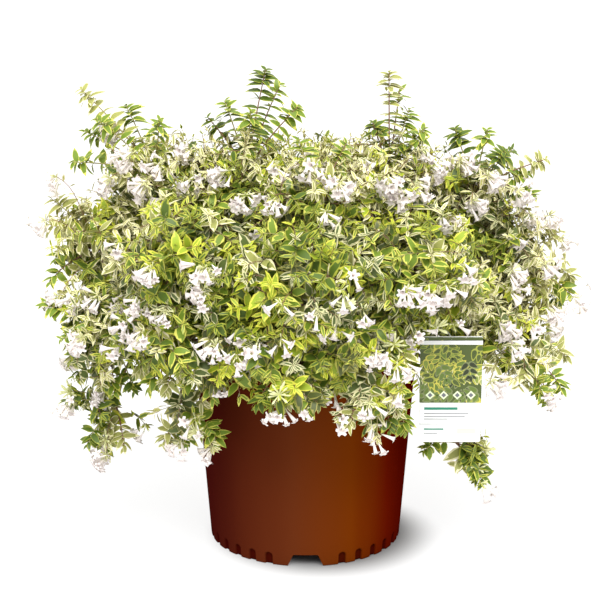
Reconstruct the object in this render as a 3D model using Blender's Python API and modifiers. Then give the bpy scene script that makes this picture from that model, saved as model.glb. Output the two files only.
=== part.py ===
"""A potted variegated abelia: nursery pot, soil, woody crown, arching canes, masses of foliage and a label.

Metres, +Z up, the front towards -Y. The origin is the centre of the pot's flat underside.
Each cane springs from the crown and ends where it enters its own mass of leaves and flowers."""

import math
import random
from collections import namedtuple

import bmesh
import bpy
import numpy as np
from mathutils import Matrix, Vector
from mathutils.geometry import interpolate_bezier

CLEARANCE = 0.0003  # between pieces that meet
SEED = 13
UP = Vector((0.0, 0.0, 1.0))
GOLDEN_ANGLE = math.pi * (3 - math.sqrt(5))
MERGE_DISTANCE = 0.00001
SHARP_EDGE = math.radians(35)  # edges that bend more than this stay sharp on the smooth-shaded pieces

# The pot, a number 3 nursery container
POT_HEIGHT = 0.249
RIM_RADIUS = 0.143
RIM_HEIGHT = 0.023
RIM_STEP = 0.0030  # how far the rim stands out from the wall
RIM_ROUND = 0.002
FOOT_RADIUS = 0.1228
FOOT_ROUND = 0.002
FOOT_RING = 0.011  # width of the ring that the pot stands on
WALL = 0.0026
DRAIN_HEIGHT = 0.017  # the floor's height above the foot ring
PAD_RADIUS = 0.060  # the middle of the floor comes down to the ground again
POT_STEPS = 40
NOTCHES = 3
NOTCH_HEIGHT = 0.0160
NOTCH_TOP = 0.031
NOTCH_FOOT = 0.0445
DENT_PITCH = math.radians(10.9)
DENTS_BETWEEN_NOTCHES = 8
DENT_RADIUS = 0.0052
DENT_DEPTH = 0.0036
DENT_HEIGHT = 0.016
CUTTER_OVER = 0.006  # how far a notch's cutter goes on below the ground
DENT_OVER = 0.020

# The soil and the woody crown on it
SOIL_TOP = 0.222
SOIL_DOME = 0.006
CROWN_RADIUS = 0.027
CROWN_NECK = 0.021
CROWN_FLARE = 0.032
CROWN_RISE = 0.031  # from the soil to the middle of its dome
CROWN_FLARE_HEIGHT = 0.010
DOME_STEP = math.radians(24)
DOME_POINTS = 6
CROWN_STEPS = 16

# The canes
CANE_FOOT = 0.0027
CANE_TIP = 0.0016
CANE_POINTS = 8
CANE_SPACING = math.radians(13.5)  # least angle between two canes where they leave the crown
SPACING_ROUNDS = 400
SPACING_PUSH = 0.3
LOWEST_CANE = math.radians(32)
STEEPEST_CANE = math.radians(84)
HEIGHT_OF_FLAT_CANE = 0.16  # a mass this high has the lowest cane, and one at the next height the steepest
HEIGHT_OF_STEEP_CANE = 0.50
ARRIVE_LOW = math.radians(-86)  # a cane comes down into a hanging mass, and up into a top one
ARRIVE_HIGH = math.radians(72)
CANE_RISE = 0.42  # the route's two handles, as shares of its span
CANE_DROOP = 0.36
ENTRY_SHARE = 0.86  # how far out in its mass a cane ends
LIMB_MARGIN = 0.009  # between a cane and a mass's core

# The foliage
SPACE_GAP = 0.0024  # between the spaces of two masses
CORE_SHARE = 0.60
CORE_NEAR_SHARE = 0.80
CORE_BUMPS = 0.17  # how much its corners stand in and out, as a share of its size
CORE_LEAST = 0.012
CORE_PROBES = 12
LEAF_LENGTH = 0.064
LEAF_LENGTH_RANGE = (0.85, 1.12)
LEAF_WIDTH = 0.48  # as shares of the length, like the four after it
LEAF_WIDEST = 0.40
LEAF_THICKNESS = 0.032
LEAF_FOLD = 0.10
LEAF_DROOP = 0.16
LEAF_OVER = 0.22  # how far an end leaf stands out of the mass's ellipsoid
LEAF_SAMPLES = ((0.15, 0.10), (0.42, 0.25), (0.72, 0.14), (1.0, 0.03))  # place along it, half width
BLADE_SIZES = (1.0, 0.8, 0.64)  # tried one after another until one fits
PAIR_ALONG = 0.55  # the way a paired leaf points: along its twig, out to the side and down
PAIR_ASIDE = 0.80
PAIR_DOWN = 0.12
PAIR_TURN = 0.5  # how far a pair is turned from square to the last, in radians
PAIR_PITCH = 0.044  # between the pairs of leaves along a long shoot
LAST_PAIR = 0.94  # where the last pair would stand, as a share of the twig
CANDIDATES = 1.5  # directions tried for each twig that a mass's row gives
MOST_INWARD = -0.05  # cosine of the direction most turned in to the plant
TWIG_ROOM = 0.013  # least stretch of a twig outside the core
TWIG_PROBES = 5
TWIG_RADIUS = 0.0028
TWIG_TIP = 0.0020
STEM_SIDES = 5
TWIG_SIDES = 3
FLOWER_LENGTH = 0.034
FLOWER_RADIUS = 0.011
FLOWER_SIDES = 5
FLOWER_DROOP = 0.6
FLOWER_EVERY = 3  # one twig in so many ends in a flower
PLANT_HEART = Vector((0.0, 0.0, 0.30))

# The label, a card on a strap that is looped round a cane
CARD_CENTRE = Vector((0.1730, -0.142, 0.2365))
CARD_WIDTH = 0.074
CARD_HEIGHT = 0.132
CARD_THICKNESS = 0.0012
STRAP_RADIUS = 0.0012
LOOP_GAP = 0.0005
LOOP_STEPS = 12
TAIL_POINTS = 7
TAIL_RADIUS = 0.8 * STRAP_RADIUS
TAIL_SAG = 0.012
TAIL_START = 0.35  # where the tail's first handle stands, as a share of the way to the card
HOLE_FROM_EDGE = 0.004
CARD_CANE = "card_side"
CARD_CANE_POINT = 5  # the point of that cane's route that the loop goes round

# name, centre, radii (outwards, across and up), how many short twigs, and where its long shoots end
Mass = namedtuple("Mass", "name centre radii twigs tips")
MASSES = (
    Mass("top_left", (-0.073, 0.000, 0.474), (0.085, 0.095, 0.052), 6,
         ((-0.048, 0.000, 0.607), (-0.006, -0.010, 0.562), (-0.101, 0.000, 0.568))),
    Mass("top_right", (0.104, 0.000, 0.468), (0.080, 0.095, 0.052), 6,
         ((0.102, 0.000, 0.604), (0.130, 0.015, 0.556))),
    Mass("top_front", (0.013, -0.120, 0.449), (0.075, 0.112, 0.062), 6, ()),
    Mass("top_back", (0.014, 0.125, 0.440), (0.085, 0.125, 0.060), 7, ()),
    Mass("upper_left", (-0.190, 0.045, 0.458), (0.070, 0.105, 0.062), 6,
         ((-0.283, 0.030, 0.578), (-0.228, 0.050, 0.556), (-0.297, 0.010, 0.487))),
    Mass("upper_right", (0.214, 0.045, 0.438), (0.072, 0.105, 0.062), 6,
         ((0.286, 0.030, 0.470), (0.266, 0.050, 0.500), (0.186, 0.030, 0.530))),
    Mass("left", (-0.256, 0.010, 0.375), (0.062, 0.115, 0.070), 6,
         ((-0.330, 0.015, 0.408), (-0.326, 0.035, 0.438))),
    Mass("right", (0.266, 0.010, 0.352), (0.062, 0.115, 0.070), 6,
         ((0.340, 0.010, 0.313), (0.326, 0.020, 0.399))),
    Mass("front_left", (-0.140, -0.158, 0.396), (0.072, 0.100, 0.072), 7, ()),
    Mass("front_centre", (-0.005, -0.212, 0.380), (0.070, 0.090, 0.072), 7, ()),
    Mass("front_right", (0.134, -0.166, 0.388), (0.072, 0.100, 0.070), 7, ()),
    Mass("lower_left", (-0.243, -0.075, 0.285), (0.060, 0.100, 0.062), 6,
         ((-0.327, -0.060, 0.324), (-0.290, -0.085, 0.252))),
    Mass("lower_right", (0.252, -0.065, 0.272), (0.062, 0.100, 0.058), 6,
         ((0.333, -0.040, 0.245), (0.310, -0.055, 0.190))),
    Mass("low_front_left", (-0.134, -0.175, 0.308), (0.066, 0.090, 0.056), 6, ()),
    Mass("low_front", (-0.016, -0.215, 0.296), (0.064, 0.085, 0.054), 6,
         ((-0.024, -0.225, 0.238),)),
    Mass("low_front_right", (0.084, -0.195, 0.276), (0.062, 0.075, 0.056), 6,
         ((0.074, -0.212, 0.202),)),
    Mass("card_side", (0.185, -0.085, 0.320), (0.056, 0.062, 0.056), 5, ()),
    Mass("hang_left", (-0.239, -0.040, 0.183), (0.050, 0.056, 0.044), 5,
         ((-0.309, -0.020, 0.184), (-0.260, -0.040, 0.112))),
    Mass("hang_front_left", (-0.143, -0.135, 0.208), (0.042, 0.048, 0.040), 4,
         ((-0.149, -0.130, 0.157), (-0.100, -0.155, 0.168))),
    Mass("hang_right", (0.186, -0.085, 0.150), (0.034, 0.040, 0.034), 3,
         ((0.224, -0.100, 0.099), (0.227, -0.085, 0.142))),
    Mass("back_left", (-0.175, 0.170, 0.382), (0.078, 0.115, 0.078), 7, ()),
    Mass("back_right", (0.180, 0.170, 0.378), (0.078, 0.115, 0.078), 7, ()),
    Mass("back_centre", (0.000, 0.235, 0.372), (0.072, 0.110, 0.078), 7, ()),
    Mass("low_back_left", (-0.190, 0.150, 0.285), (0.075, 0.115, 0.062), 6,
         ((-0.240, 0.190, 0.215),)),
    Mass("low_back_right", (0.190, 0.150, 0.280), (0.075, 0.115, 0.062), 6,
         ((0.225, 0.200, 0.205),)),
    Mass("low_back", (0.000, 0.230, 0.285), (0.070, 0.110, 0.060), 6,
         ((0.010, 0.285, 0.218),)),
)


def clear_scene():
    """Starts from an empty file."""
    for obj in list(bpy.data.objects):
        bpy.data.objects.remove(obj)


def collection(name):
    """A new collection in the scene."""
    made = bpy.data.collections.new(name)
    bpy.context.scene.collection.children.link(made)
    return made


def material(name, colour, roughness, metallic=0.0):
    """A Principled material of one colour."""
    made = bpy.data.materials.new(name)
    made.use_nodes = True
    shader = made.node_tree.nodes["Principled BSDF"]
    shader.inputs["Base Color"].default_value = (*colour, 1.0)
    shader.inputs["Roughness"].default_value = roughness
    shader.inputs["Metallic"].default_value = metallic
    return made


def add_object(name, data, home, finish=None):
    """An object of this mesh or curve in a collection, with one material."""
    obj = bpy.data.objects.new(name, data)
    home.objects.link(obj)
    if finish:
        obj.data.materials.append(finish)
    return obj


def mesh_from(bm, name):
    """The bmesh as a mesh, with its normals facing out."""
    bmesh.ops.recalc_face_normals(bm, faces=bm.faces)
    made = bpy.data.meshes.new(name)
    bm.to_mesh(made)
    bm.free()
    return made


def shade_round(data):
    """Smooth shading, with the sharp edges kept."""
    data.shade_smooth()
    data.set_sharp_from_angle(angle=SHARP_EDGE)


def evaluated_copy(obj):
    """The object's mesh with its modifiers applied."""
    bpy.context.view_layer.update()
    graph = bpy.context.evaluated_depsgraph_get()
    return bpy.data.meshes.new_from_object(obj.evaluated_get(graph))


def settle(obj):
    """Makes the object's modifiers part of its mesh."""
    whole = evaluated_copy(obj)
    obj.modifiers.clear()
    obj.data = whole
    return obj


def remove_collection(home):
    """Removes a collection and the objects in it."""
    for obj in list(home.objects):
        bpy.data.objects.remove(obj)
    bpy.data.collections.remove(home)


def turned(name, profile, steps, home, finish):
    """A solid of revolution about Z. The profile of (radius, height) starts and ends on the axis."""
    bm = bmesh.new()
    verts = [bm.verts.new((radius, 0.0, height)) for radius, height in profile]
    for low, high in zip(verts, verts[1:]):
        bm.edges.new((low, high))
    data = bpy.data.meshes.new(name)
    bm.to_mesh(data)
    bm.free()
    obj = add_object(name, data, home, finish)
    screw = obj.modifiers.new("turn", "SCREW")
    screw.axis = "Z"
    screw.steps = steps
    screw.render_steps = steps
    screw.use_merge_vertices = True
    screw.merge_threshold = MERGE_DISTANCE
    settle(obj)
    shade_round(obj.data)
    return obj


def wall_radius(height):
    """The pot wall's outer radius at a height under the rim."""
    share = height / (POT_HEIGHT - RIM_HEIGHT)
    return FOOT_RADIUS + (RIM_RADIUS - RIM_STEP - FOOT_RADIUS) * share


def pot_inside():
    """The pot's inner face from the middle of its floor to under its rim."""
    floor = DRAIN_HEIGHT + WALL
    return [
        (0.0, WALL),
        (PAD_RADIUS - WALL, WALL),
        (PAD_RADIUS + FOOT_ROUND - WALL, floor),
        (wall_radius(floor) - WALL, floor),
    ]


def pot_profile():
    """The pot's section: up the inside, over the rolled rim, down the outside and in under the floor."""
    under_rim = POT_HEIGHT - RIM_HEIGHT
    foot_in = FOOT_RADIUS - FOOT_RING
    return pot_inside() + [
        (wall_radius(under_rim) - WALL, under_rim),
        (RIM_RADIUS - RIM_STEP - WALL + 0.001, POT_HEIGHT - RIM_ROUND),
        (RIM_RADIUS - RIM_STEP, POT_HEIGHT),
        (RIM_RADIUS - RIM_ROUND, POT_HEIGHT),
        (RIM_RADIUS, POT_HEIGHT - RIM_ROUND),
        (RIM_RADIUS, under_rim + RIM_ROUND),
        (RIM_RADIUS - RIM_ROUND, under_rim),
        (wall_radius(under_rim), under_rim),
        (wall_radius(FOOT_ROUND), FOOT_ROUND),
        (FOOT_RADIUS - FOOT_ROUND, 0.0),
        (foot_in, 0.0),
        (foot_in - FOOT_ROUND, DRAIN_HEIGHT),
        (PAD_RADIUS + FOOT_ROUND, DRAIN_HEIGHT),
        (PAD_RADIUS, 0.0),
        (0.0, 0.0),
    ]


def notch_cutter(index, home):
    """A drain notch through the foot ring, wider at the ground."""
    bm = bmesh.new()
    bmesh.ops.create_cube(bm, size=1.0)
    for vert in bm.verts:
        height = NOTCH_HEIGHT if vert.co.z > 0 else -CUTTER_OVER
        widening = (NOTCH_FOOT - NOTCH_TOP) * (NOTCH_HEIGHT - height) / NOTCH_HEIGHT
        vert.co.x *= NOTCH_TOP + widening
        vert.co.y *= 3 * FOOT_RING
        vert.co.z = height
    cutter = add_object(f"notch_cutter_{index}", mesh_from(bm, "notch"), home)
    return place_round_pot(cutter, FOOT_RADIUS, index * math.tau / NOTCHES)


def dent_cutter(index, angle, home):
    """An arched dent in the foot of the wall: a sphere drawn out downwards."""
    bm = bmesh.new()
    bmesh.ops.create_uvsphere(bm, u_segments=8, v_segments=4, radius=DENT_RADIUS)
    for vert in bm.verts:
        lower_half = vert.co.z < -MERGE_DISTANCE
        vert.co.z += DENT_HEIGHT - DENT_RADIUS - (DENT_OVER if lower_half else 0.0)
    cutter = add_object(f"dent_cutter_{index}", mesh_from(bm, "dent"), home)
    return place_round_pot(cutter, FOOT_RADIUS + DENT_RADIUS - DENT_DEPTH, angle)


def place_round_pot(obj, radius, angle):
    """Puts a cutter at this angle from the front, facing out, and hides it from renders."""
    obj.location = (radius * math.sin(angle), -radius * math.cos(angle), 0.0)
    obj.rotation_euler = (0.0, 0.0, angle)
    obj.hide_render = True
    obj.display_type = "WIRE"
    return obj


def build_pot(home, finish):
    """The pot with its drain notches and the row of dents round its foot."""
    pot = turned("pot", pot_profile(), POT_STEPS, home, finish)
    cutters = collection("cutters")
    for notch in range(NOTCHES):
        notch_cutter(notch, cutters)
        middle = (notch + 0.5) * math.tau / NOTCHES
        for dent in range(DENTS_BETWEEN_NOTCHES):
            offset = (dent - (DENTS_BETWEEN_NOTCHES - 1) / 2) * DENT_PITCH
            dent_cutter(notch * DENTS_BETWEEN_NOTCHES + dent, middle + offset, cutters)
    cut = pot.modifiers.new("drain", "BOOLEAN")
    cut.operation = "DIFFERENCE"
    cut.operand_type = "COLLECTION"
    cut.collection = cutters
    settle(pot)
    shade_round(pot.data)
    remove_collection(cutters)


def build_soil(home, finish):
    """The potting mix, which fills the pot and is a little higher in the middle."""
    inside = [(radius, height + CLEARANCE) for radius, height in pot_inside()]
    wall_gap = WALL + 2 * CLEARANCE
    floor_radius, floor = inside[-1]
    profile = [
        (0.0, SOIL_TOP),
        (CROWN_FLARE + 0.004, SOIL_TOP),
        (0.6 * RIM_RADIUS, SOIL_TOP - 0.3 * SOIL_DOME),
        (wall_radius(SOIL_TOP) - wall_gap, SOIL_TOP - SOIL_DOME),
        (wall_radius(floor) - wall_gap, floor),
        (inside[2][0] - CLEARANCE, floor),
        (inside[1][0] - CLEARANCE, inside[1][1]),
        (0.0, inside[0][1]),
    ]
    turned("soil", profile, POT_STEPS // 2, home, finish)


def crown_heart():
    """The middle of the woody crown's dome."""
    return Vector((0.0, 0.0, SOIL_TOP + CLEARANCE + CROWN_RISE))


def build_crown(home, finish):
    """The short woody stem: a flare at the soil, a neck, and the dome that the canes spring from."""
    ground = SOIL_TOP + CLEARANCE
    middle = crown_heart().z
    dome = [(0.0, middle + CROWN_RADIUS)]
    for step in range(1, DOME_POINTS):
        radius, height = math.sin(DOME_STEP * step), math.cos(DOME_STEP * step)
        dome.append((CROWN_RADIUS * radius, middle + CROWN_RADIUS * height))
    foot = [
        (CROWN_NECK, ground + CROWN_FLARE_HEIGHT),
        (0.5 * (CROWN_NECK + CROWN_FLARE), ground + 0.4 * CROWN_FLARE_HEIGHT),
        (CROWN_FLARE, ground),
        (0.0, ground),
    ]
    turned("crown_stem", dome + foot, CROWN_STEPS, home, finish)


def direction(azimuth, elevation):
    """A unit vector. The azimuth is measured from +X towards +Y."""
    flat = math.cos(elevation)
    return Vector((flat * math.cos(azimuth), flat * math.sin(azimuth), math.sin(elevation)))


def share_of_height(mass):
    """0 for the lowest hanging mass and 1 for the top of the plant."""
    span = HEIGHT_OF_STEEP_CANE - HEIGHT_OF_FLAT_CANE
    return min(1.0, max(0.0, (mass.centre[2] - HEIGHT_OF_FLAT_CANE) / span))


def azimuth_of(mass):
    return math.atan2(mass.centre[1], mass.centre[0])


def cane_starts():
    """The direction in which each cane leaves the crown, moved apart until no two are too close."""
    starts = [
        direction(azimuth_of(m), LOWEST_CANE + (STEEPEST_CANE - LOWEST_CANE) * share_of_height(m))
        for m in MASSES
    ]
    low = math.sin(LOWEST_CANE)
    for _ in range(SPACING_ROUNDS):
        for i, first in enumerate(starts):
            for j in range(i + 1, len(starts)):
                apart = first.angle(starts[j])
                if apart >= CANE_SPACING:
                    continue
                push = (first - starts[j]).normalized() * (CANE_SPACING - apart) * SPACING_PUSH
                first = (first + push).normalized()
                starts[j] = (starts[j] - push).normalized()
            starts[i] = first
        for i, start in enumerate(starts):
            if start.z < low:
                flat = Vector((start.x, start.y, 0.0)).normalized()
                starts[i] = flat * math.cos(LOWEST_CANE) + Vector((0.0, 0.0, low))
    return starts


class Space:
    """The room that one mass of foliage may fill: its ellipsoid, cut off halfway to each neighbour."""

    def __init__(self, mass):
        self.centre = Vector(mass.centre)
        azimuth = azimuth_of(mass)
        axes = (direction(azimuth, 0), direction(azimuth + math.pi / 2, 0), UP)
        self.axes = [axis / radius for axis, radius in zip(axes, mass.radii)]
        self.tips = [Vector(tip) for tip in mass.tips]
        self.planes = []
        size = sum(mass.radii) / 3
        for other in MASSES:
            if other.name == mass.name:
                continue
            across = Vector(other.centre) - self.centre
            apart = across.length
            shift = (size**2 - (sum(other.radii) / 3) ** 2) / (2 * apart)
            self.planes.append((across / apart, apart / 2 + shift - SPACE_GAP / 2))

    def within_planes(self, point):
        """True if a point is on this mass's side of every plane."""
        return all((point - self.centre).dot(normal) < far for normal, far in self.planes)

    def reach(self, way):
        """How far the space goes from its centre in a unit direction."""
        return min(self.open_reach(way), self.cell_reach(way))

    def core_reach(self, way):
        """How far the core goes: well inside the ellipsoid, and close up to a neighbour."""
        return min(CORE_SHARE * self.open_reach(way), CORE_NEAR_SHARE * self.cell_reach(way))

    def open_reach(self, way):
        """How far the ellipsoid goes."""
        return 1 / math.sqrt(sum(way.dot(axis) ** 2 for axis in self.axes))

    def cell_reach(self, way):
        """How far it is to the nearest plane halfway to a neighbour."""
        facing = [(way.dot(normal), limit) for normal, limit in self.planes]
        return min((limit / along for along, limit in facing if along > 0), default=math.inf)


class Obstacles:
    """What a leaf or twig keeps clear of: the pot, the label and the canes."""

    def __init__(self):
        self.starts, self.ends, self.radii, self.names = [], [], [], []

    def add_limb(self, name, points, radii):
        """Adds a tapering tube."""
        for low, high, radius in zip(points, points[1:], radii):
            self.starts.append(low)
            self.ends.append(high)
            self.radii.append(radius)
            self.names.append(name)

    def finish(self):
        """Turns the lists into arrays, once the last limb is in."""
        self.starts = np.array(self.starts)
        self.along = np.array(self.ends) - self.starts
        self.span = (self.along**2).sum(axis=1)
        self.radii = np.array(self.radii)
        self.names = np.array(self.names)

    def hits(self, point, margin, own=None):
        """True if a ball of this margin touches an obstacle. A mass passes its own cane's name."""
        if math.hypot(point.x, point.y) < RIM_RADIUS + margin and point.z < POT_HEIGHT + margin:
            return True
        off = point - CARD_CENTRE
        if (
            abs(off.x) < CARD_WIDTH / 2 + margin
            and abs(off.y) < CARD_THICKNESS / 2 + margin
            and abs(off.z) < CARD_HEIGHT / 2 + margin
        ):
            return True
        from_start = np.array(point) - self.starts
        share = np.clip((from_start * self.along).sum(axis=1) / self.span, 0, 1)
        gap = np.linalg.norm(from_start - share[:, None] * self.along, axis=1) - self.radii
        if own is not None:
            gap = gap[self.names != own]
        return bool((gap < margin).any())


def arrival(mass):
    """The direction in which a cane enters its mass."""
    elevation = ARRIVE_LOW + (ARRIVE_HIGH - ARRIVE_LOW) * share_of_height(mass)
    return direction(azimuth_of(mass), elevation)


def cane_route(mass, start):
    """The points of a cane, from the crown's dome to where it enters its mass."""
    foot = crown_heart() + start * (CROWN_RADIUS + CLEARANCE)
    into = arrival(mass)
    tip = Vector(mass.centre) - into * ENTRY_SHARE * Space(mass).reach(-into)
    span = (tip - foot).length
    return interpolate_bezier(
        foot, foot + start * CANE_RISE * span, tip - into * CANE_DROOP * span, tip, CANE_POINTS
    )


def cane_radii():
    """The radius at each point of a cane."""
    return [
        CANE_FOOT + (CANE_TIP - CANE_FOOT) * i / (CANE_POINTS - 1) for i in range(CANE_POINTS)
    ]


def tube(name, points, radii, home, finish=None, closed=False):
    """A tapering tube along points, with capped ends or closed in a ring."""
    data = bpy.data.curves.new(name, "CURVE")
    data.dimensions = "3D"
    data.bevel_depth = radii[0]
    data.bevel_resolution = 0
    data.use_fill_caps = True
    spline = data.splines.new("POLY")
    spline.points.add(len(points) - 1)
    spline.use_cyclic_u = closed
    for point, place, radius in zip(spline.points, points, radii):
        point.co = (*place, 1.0)
        point.radius = radius / radii[0]
    return add_object(name, data, home, finish)


def welded_mesh(curve):
    """A curve object's mesh in world space, with its caps joined to its sides."""
    made = evaluated_copy(curve)
    made.transform(curve.matrix_world)
    bm = bmesh.new()
    bm.from_mesh(made)
    bmesh.ops.remove_doubles(bm, verts=bm.verts, dist=MERGE_DISTANCE)
    return mesh_from(bm, made.name)


def across_frame(way):
    """Two unit vectors square to a direction, the first of them level."""
    spare = UP if abs(way.z) < 0.95 else Vector((0.0, 1.0, 0.0))
    level = spare.cross(way).normalized()
    return level, way.cross(level).normalized()


def lofted(name, points, radii, sides, home):
    """A closed tapering tube with few sides, for a twig or a mass's own stem."""
    bm = bmesh.new()
    rings = []
    for i, (point, radius) in enumerate(zip(points, radii)):
        before, after = points[max(i - 1, 0)], points[min(i + 1, len(points) - 1)]
        level, raised = across_frame((after - before).normalized())
        ring = []
        for side in range(sides):
            angle = math.tau * side / sides
            out = level * math.cos(angle) + raised * math.sin(angle)
            ring.append(bm.verts.new(point + radius * out))
        rings.append(ring)
    for low, high in zip(rings, rings[1:]):
        for side in range(sides):
            after = (side + 1) % sides
            bm.faces.new((low[side], low[after], high[after], high[side]))
    bm.faces.new(rings[0])
    bm.faces.new(rings[-1])
    return add_object(name, mesh_from(bm, name), home)


def leaf_data():
    """One leaf of unit length along +X, a flattened and folded double pyramid."""
    bm = bmesh.new()
    bmesh.ops.create_uvsphere(bm, u_segments=4, v_segments=2, radius=1.0)
    for vert in bm.verts:
        if vert.co.x > 0.5:
            vert.co = (1.0, 0.0, -LEAF_DROOP)
        elif vert.co.x < -0.5:
            vert.co = (0.0, 0.0, 0.0)
        elif abs(vert.co.y) > 0.5:
            vert.co = (LEAF_WIDEST, math.copysign(LEAF_WIDTH / 2, vert.co.y), LEAF_FOLD)
        else:
            vert.co = (LEAF_WIDEST, 0.0, math.copysign(LEAF_THICKNESS / 2, vert.co.z))
    return mesh_from(bm, "leaf")


def flower_data():
    """One trumpet of unit length along +X, with its point at the root."""
    bm = bmesh.new()
    bmesh.ops.create_cone(
        bm,
        cap_ends=True,
        segments=FLOWER_SIDES,
        radius1=FLOWER_RADIUS / FLOWER_LENGTH,
        radius2=0.0,
        depth=1.0,
    )
    turn = Matrix.Rotation(-math.pi / 2, 4, "Y") @ Matrix.Translation((0.0, 0.0, -0.5))
    bmesh.ops.transform(bm, matrix=turn, verts=bm.verts)
    return mesh_from(bm, "flower")


def facing(way, up):
    """A rotation that takes +X to a direction and +Z as near as may be to up."""
    side = up.cross(way)
    if side.length < 1e-4:
        side = across_frame(way)[0]
    side.normalize()
    return Matrix((way, side, way.cross(side))).transposed().to_4x4()


class Growth:
    """Grows one mass by rule: a stem, a core, twigs outwards, and leaves and flowers on the twigs."""

    def __init__(self, mass, index, route, obstacles, leaf, flower):
        self.mass = mass
        self.space = Space(mass)
        self.obstacles = obstacles
        self.leaf, self.flower = leaf, flower
        self.random = random.Random(SEED * 1000 + index)
        self.outward = (self.space.centre - PLANT_HEART).normalized()
        self.up = (self.outward + UP).normalized()
        self.entry = route[-1]
        self.into = (route[-1] - route[-2]).normalized()
        self.pieces = collection(mass.name + "_pieces")

    def core(self):
        """A lumpy faceted body inside the mass, clear of every limb and of the label."""
        bm = bmesh.new()
        bmesh.ops.create_icosphere(bm, subdivisions=2, radius=1.0)
        for vert in bm.verts:
            way = vert.co.normalized()
            bump = 1 + self.random.uniform(-CORE_BUMPS, CORE_BUMPS)
            step = way * bump * self.space.core_reach(way) / CORE_PROBES
            corner = self.space.centre + way * CORE_LEAST
            for probe in range(1, CORE_PROBES + 1):
                if self.obstacles.hits(self.space.centre + step * probe, LIMB_MARGIN):
                    break
                corner = self.space.centre + step * probe
            vert.co = corner
        return add_object(self.mass.name, mesh_from(bm, "core"), self.pieces)

    def stem(self):
        """The mass's own stem, from the cane's tip into the core."""
        start = self.entry + self.into * CLEARANCE
        points = [start, start.lerp(self.space.centre, 0.5), self.space.centre]
        lofted("stem", points, [CANE_TIP, CANE_TIP, TWIG_TIP], STEM_SIDES, self.pieces)

    def blade_fits(self, data, placed, length):
        """True if a blade placed so keeps to the mass's space and clear of the limbs."""
        if not all(self.space.within_planes(placed @ vert.co) for vert in data.vertices):
            return False
        for share, half_width in LEAF_SAMPLES:
            point = placed @ Vector((share, 0.0, -LEAF_DROOP * share**2))
            if self.obstacles.hits(point, half_width * length):
                return False
        return True

    def add_blade(self, data, root, way, length):
        """Fuses on one leaf or flower. One that doesn't fit is made shorter, and then skipped."""
        for shorter in BLADE_SIZES:
            scaled = Matrix.Scale(shorter * length, 4)
            placed = Matrix.Translation(root) @ facing(way, self.up) @ scaled
            if self.blade_fits(data, placed, shorter * length):
                obj = add_object("blade", data, self.pieces)
                obj.matrix_world = placed
                return

    def twig(self, way, length, leaf_pairs, flower):
        """A twig outwards from the core, with opposite pairs of leaves and an end leaf or flower."""
        start = self.space.centre + way * 0.5 * self.space.core_reach(way)
        end = self.space.centre + way * length
        for probe in range(TWIG_PROBES):
            point = start.lerp(end, probe / (TWIG_PROBES - 1))
            if not self.space.within_planes(point) or self.obstacles.hits(point, 2 * TWIG_RADIUS):
                return
        lofted("twig", [start, end], [TWIG_RADIUS, TWIG_TIP], TWIG_SIDES, self.pieces)
        level, raised = across_frame(way)
        first = self.space.core_reach(way) / length
        for pair in range(leaf_pairs):
            share = first + (LAST_PAIR - first) * (pair + 1.0) / (leaf_pairs + 0.25)
            root = self.space.centre + way * share * length
            turn = self.random.uniform(-PAIR_TURN, PAIR_TURN) + pair * math.pi / 2
            side = level * math.cos(turn) + raised * math.sin(turn)
            for sign in (-1, 1):
                out = way * PAIR_ALONG + side * sign * PAIR_ASIDE - UP * PAIR_DOWN
                self.add_blade(self.leaf, root, out.normalized(), self.leaf_length())
        root = end - way * TWIG_TIP
        if flower:
            out = way - UP * FLOWER_DROOP
            self.add_blade(self.flower, root, out.normalized(), FLOWER_LENGTH)
        else:
            self.add_blade(self.leaf, root, way, self.leaf_length())

    def leaf_length(self):
        """A length for the next leaf, by chance."""
        return LEAF_LENGTH * self.random.uniform(*LEAF_LENGTH_RANGE)

    def grow(self):
        """All the pieces of the mass. Returns the core, which the rest is fused to."""
        base = self.core()
        self.stem()
        candidates = round(CANDIDATES * self.mass.twigs)
        spin = self.random.uniform(0, math.tau)
        for i in range(candidates):
            height = 1 - 2 * (i + 0.5) / candidates
            flat = math.sqrt(1 - height**2)
            angle = spin + i * GOLDEN_ANGLE
            way = Vector((flat * math.cos(angle), flat * math.sin(angle), height))
            if way.dot(self.outward) < MOST_INWARD:
                continue
            room = self.space.reach(way) - self.space.core_reach(way)
            if room > TWIG_ROOM:
                over = self.space.reach(way) - (1 - LEAF_OVER) * LEAF_LENGTH
                length = max(over, self.space.core_reach(way) + TWIG_ROOM)
                self.twig(way, length, 1, i % FLOWER_EVERY == 0)
        for tip in self.space.tips:
            away = tip - self.space.centre
            length = away.length - LEAF_LENGTH
            self.twig(away.normalized(), length, max(1, round(length / PAIR_PITCH)), False)
        return base

    def fused(self, home, finish):
        """The mass as one closed mesh."""
        base = self.grow()
        self.pieces.objects.unlink(base)
        home.objects.link(base)
        union = base.modifiers.new("fuse", "BOOLEAN")
        union.operation = "UNION"
        union.operand_type = "COLLECTION"
        union.collection = self.pieces
        union.solver = "MANIFOLD"
        largest_body(settle(base).data)
        base.data.materials.append(finish)
        remove_collection(self.pieces)


def largest_body(mesh):
    """Takes loose scraps and sealed hollows, which are its smaller shells, out of a mesh."""
    bm = bmesh.new()
    bm.from_mesh(mesh)
    unseen = set(bm.verts)
    shells = []
    while unseen:
        shell, todo = set(), [unseen.pop()]
        while todo:
            vert = todo.pop()
            shell.add(vert)
            for edge in vert.link_edges:
                other = edge.other_vert(vert)
                if other in unseen:
                    unseen.remove(other)
                    todo.append(other)
        shells.append(shell)
    keep = max(shells, key=len)
    bmesh.ops.delete(bm, geom=[v for v in bm.verts if v not in keep], context="VERTS")
    bm.to_mesh(mesh)
    bm.free()


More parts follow.
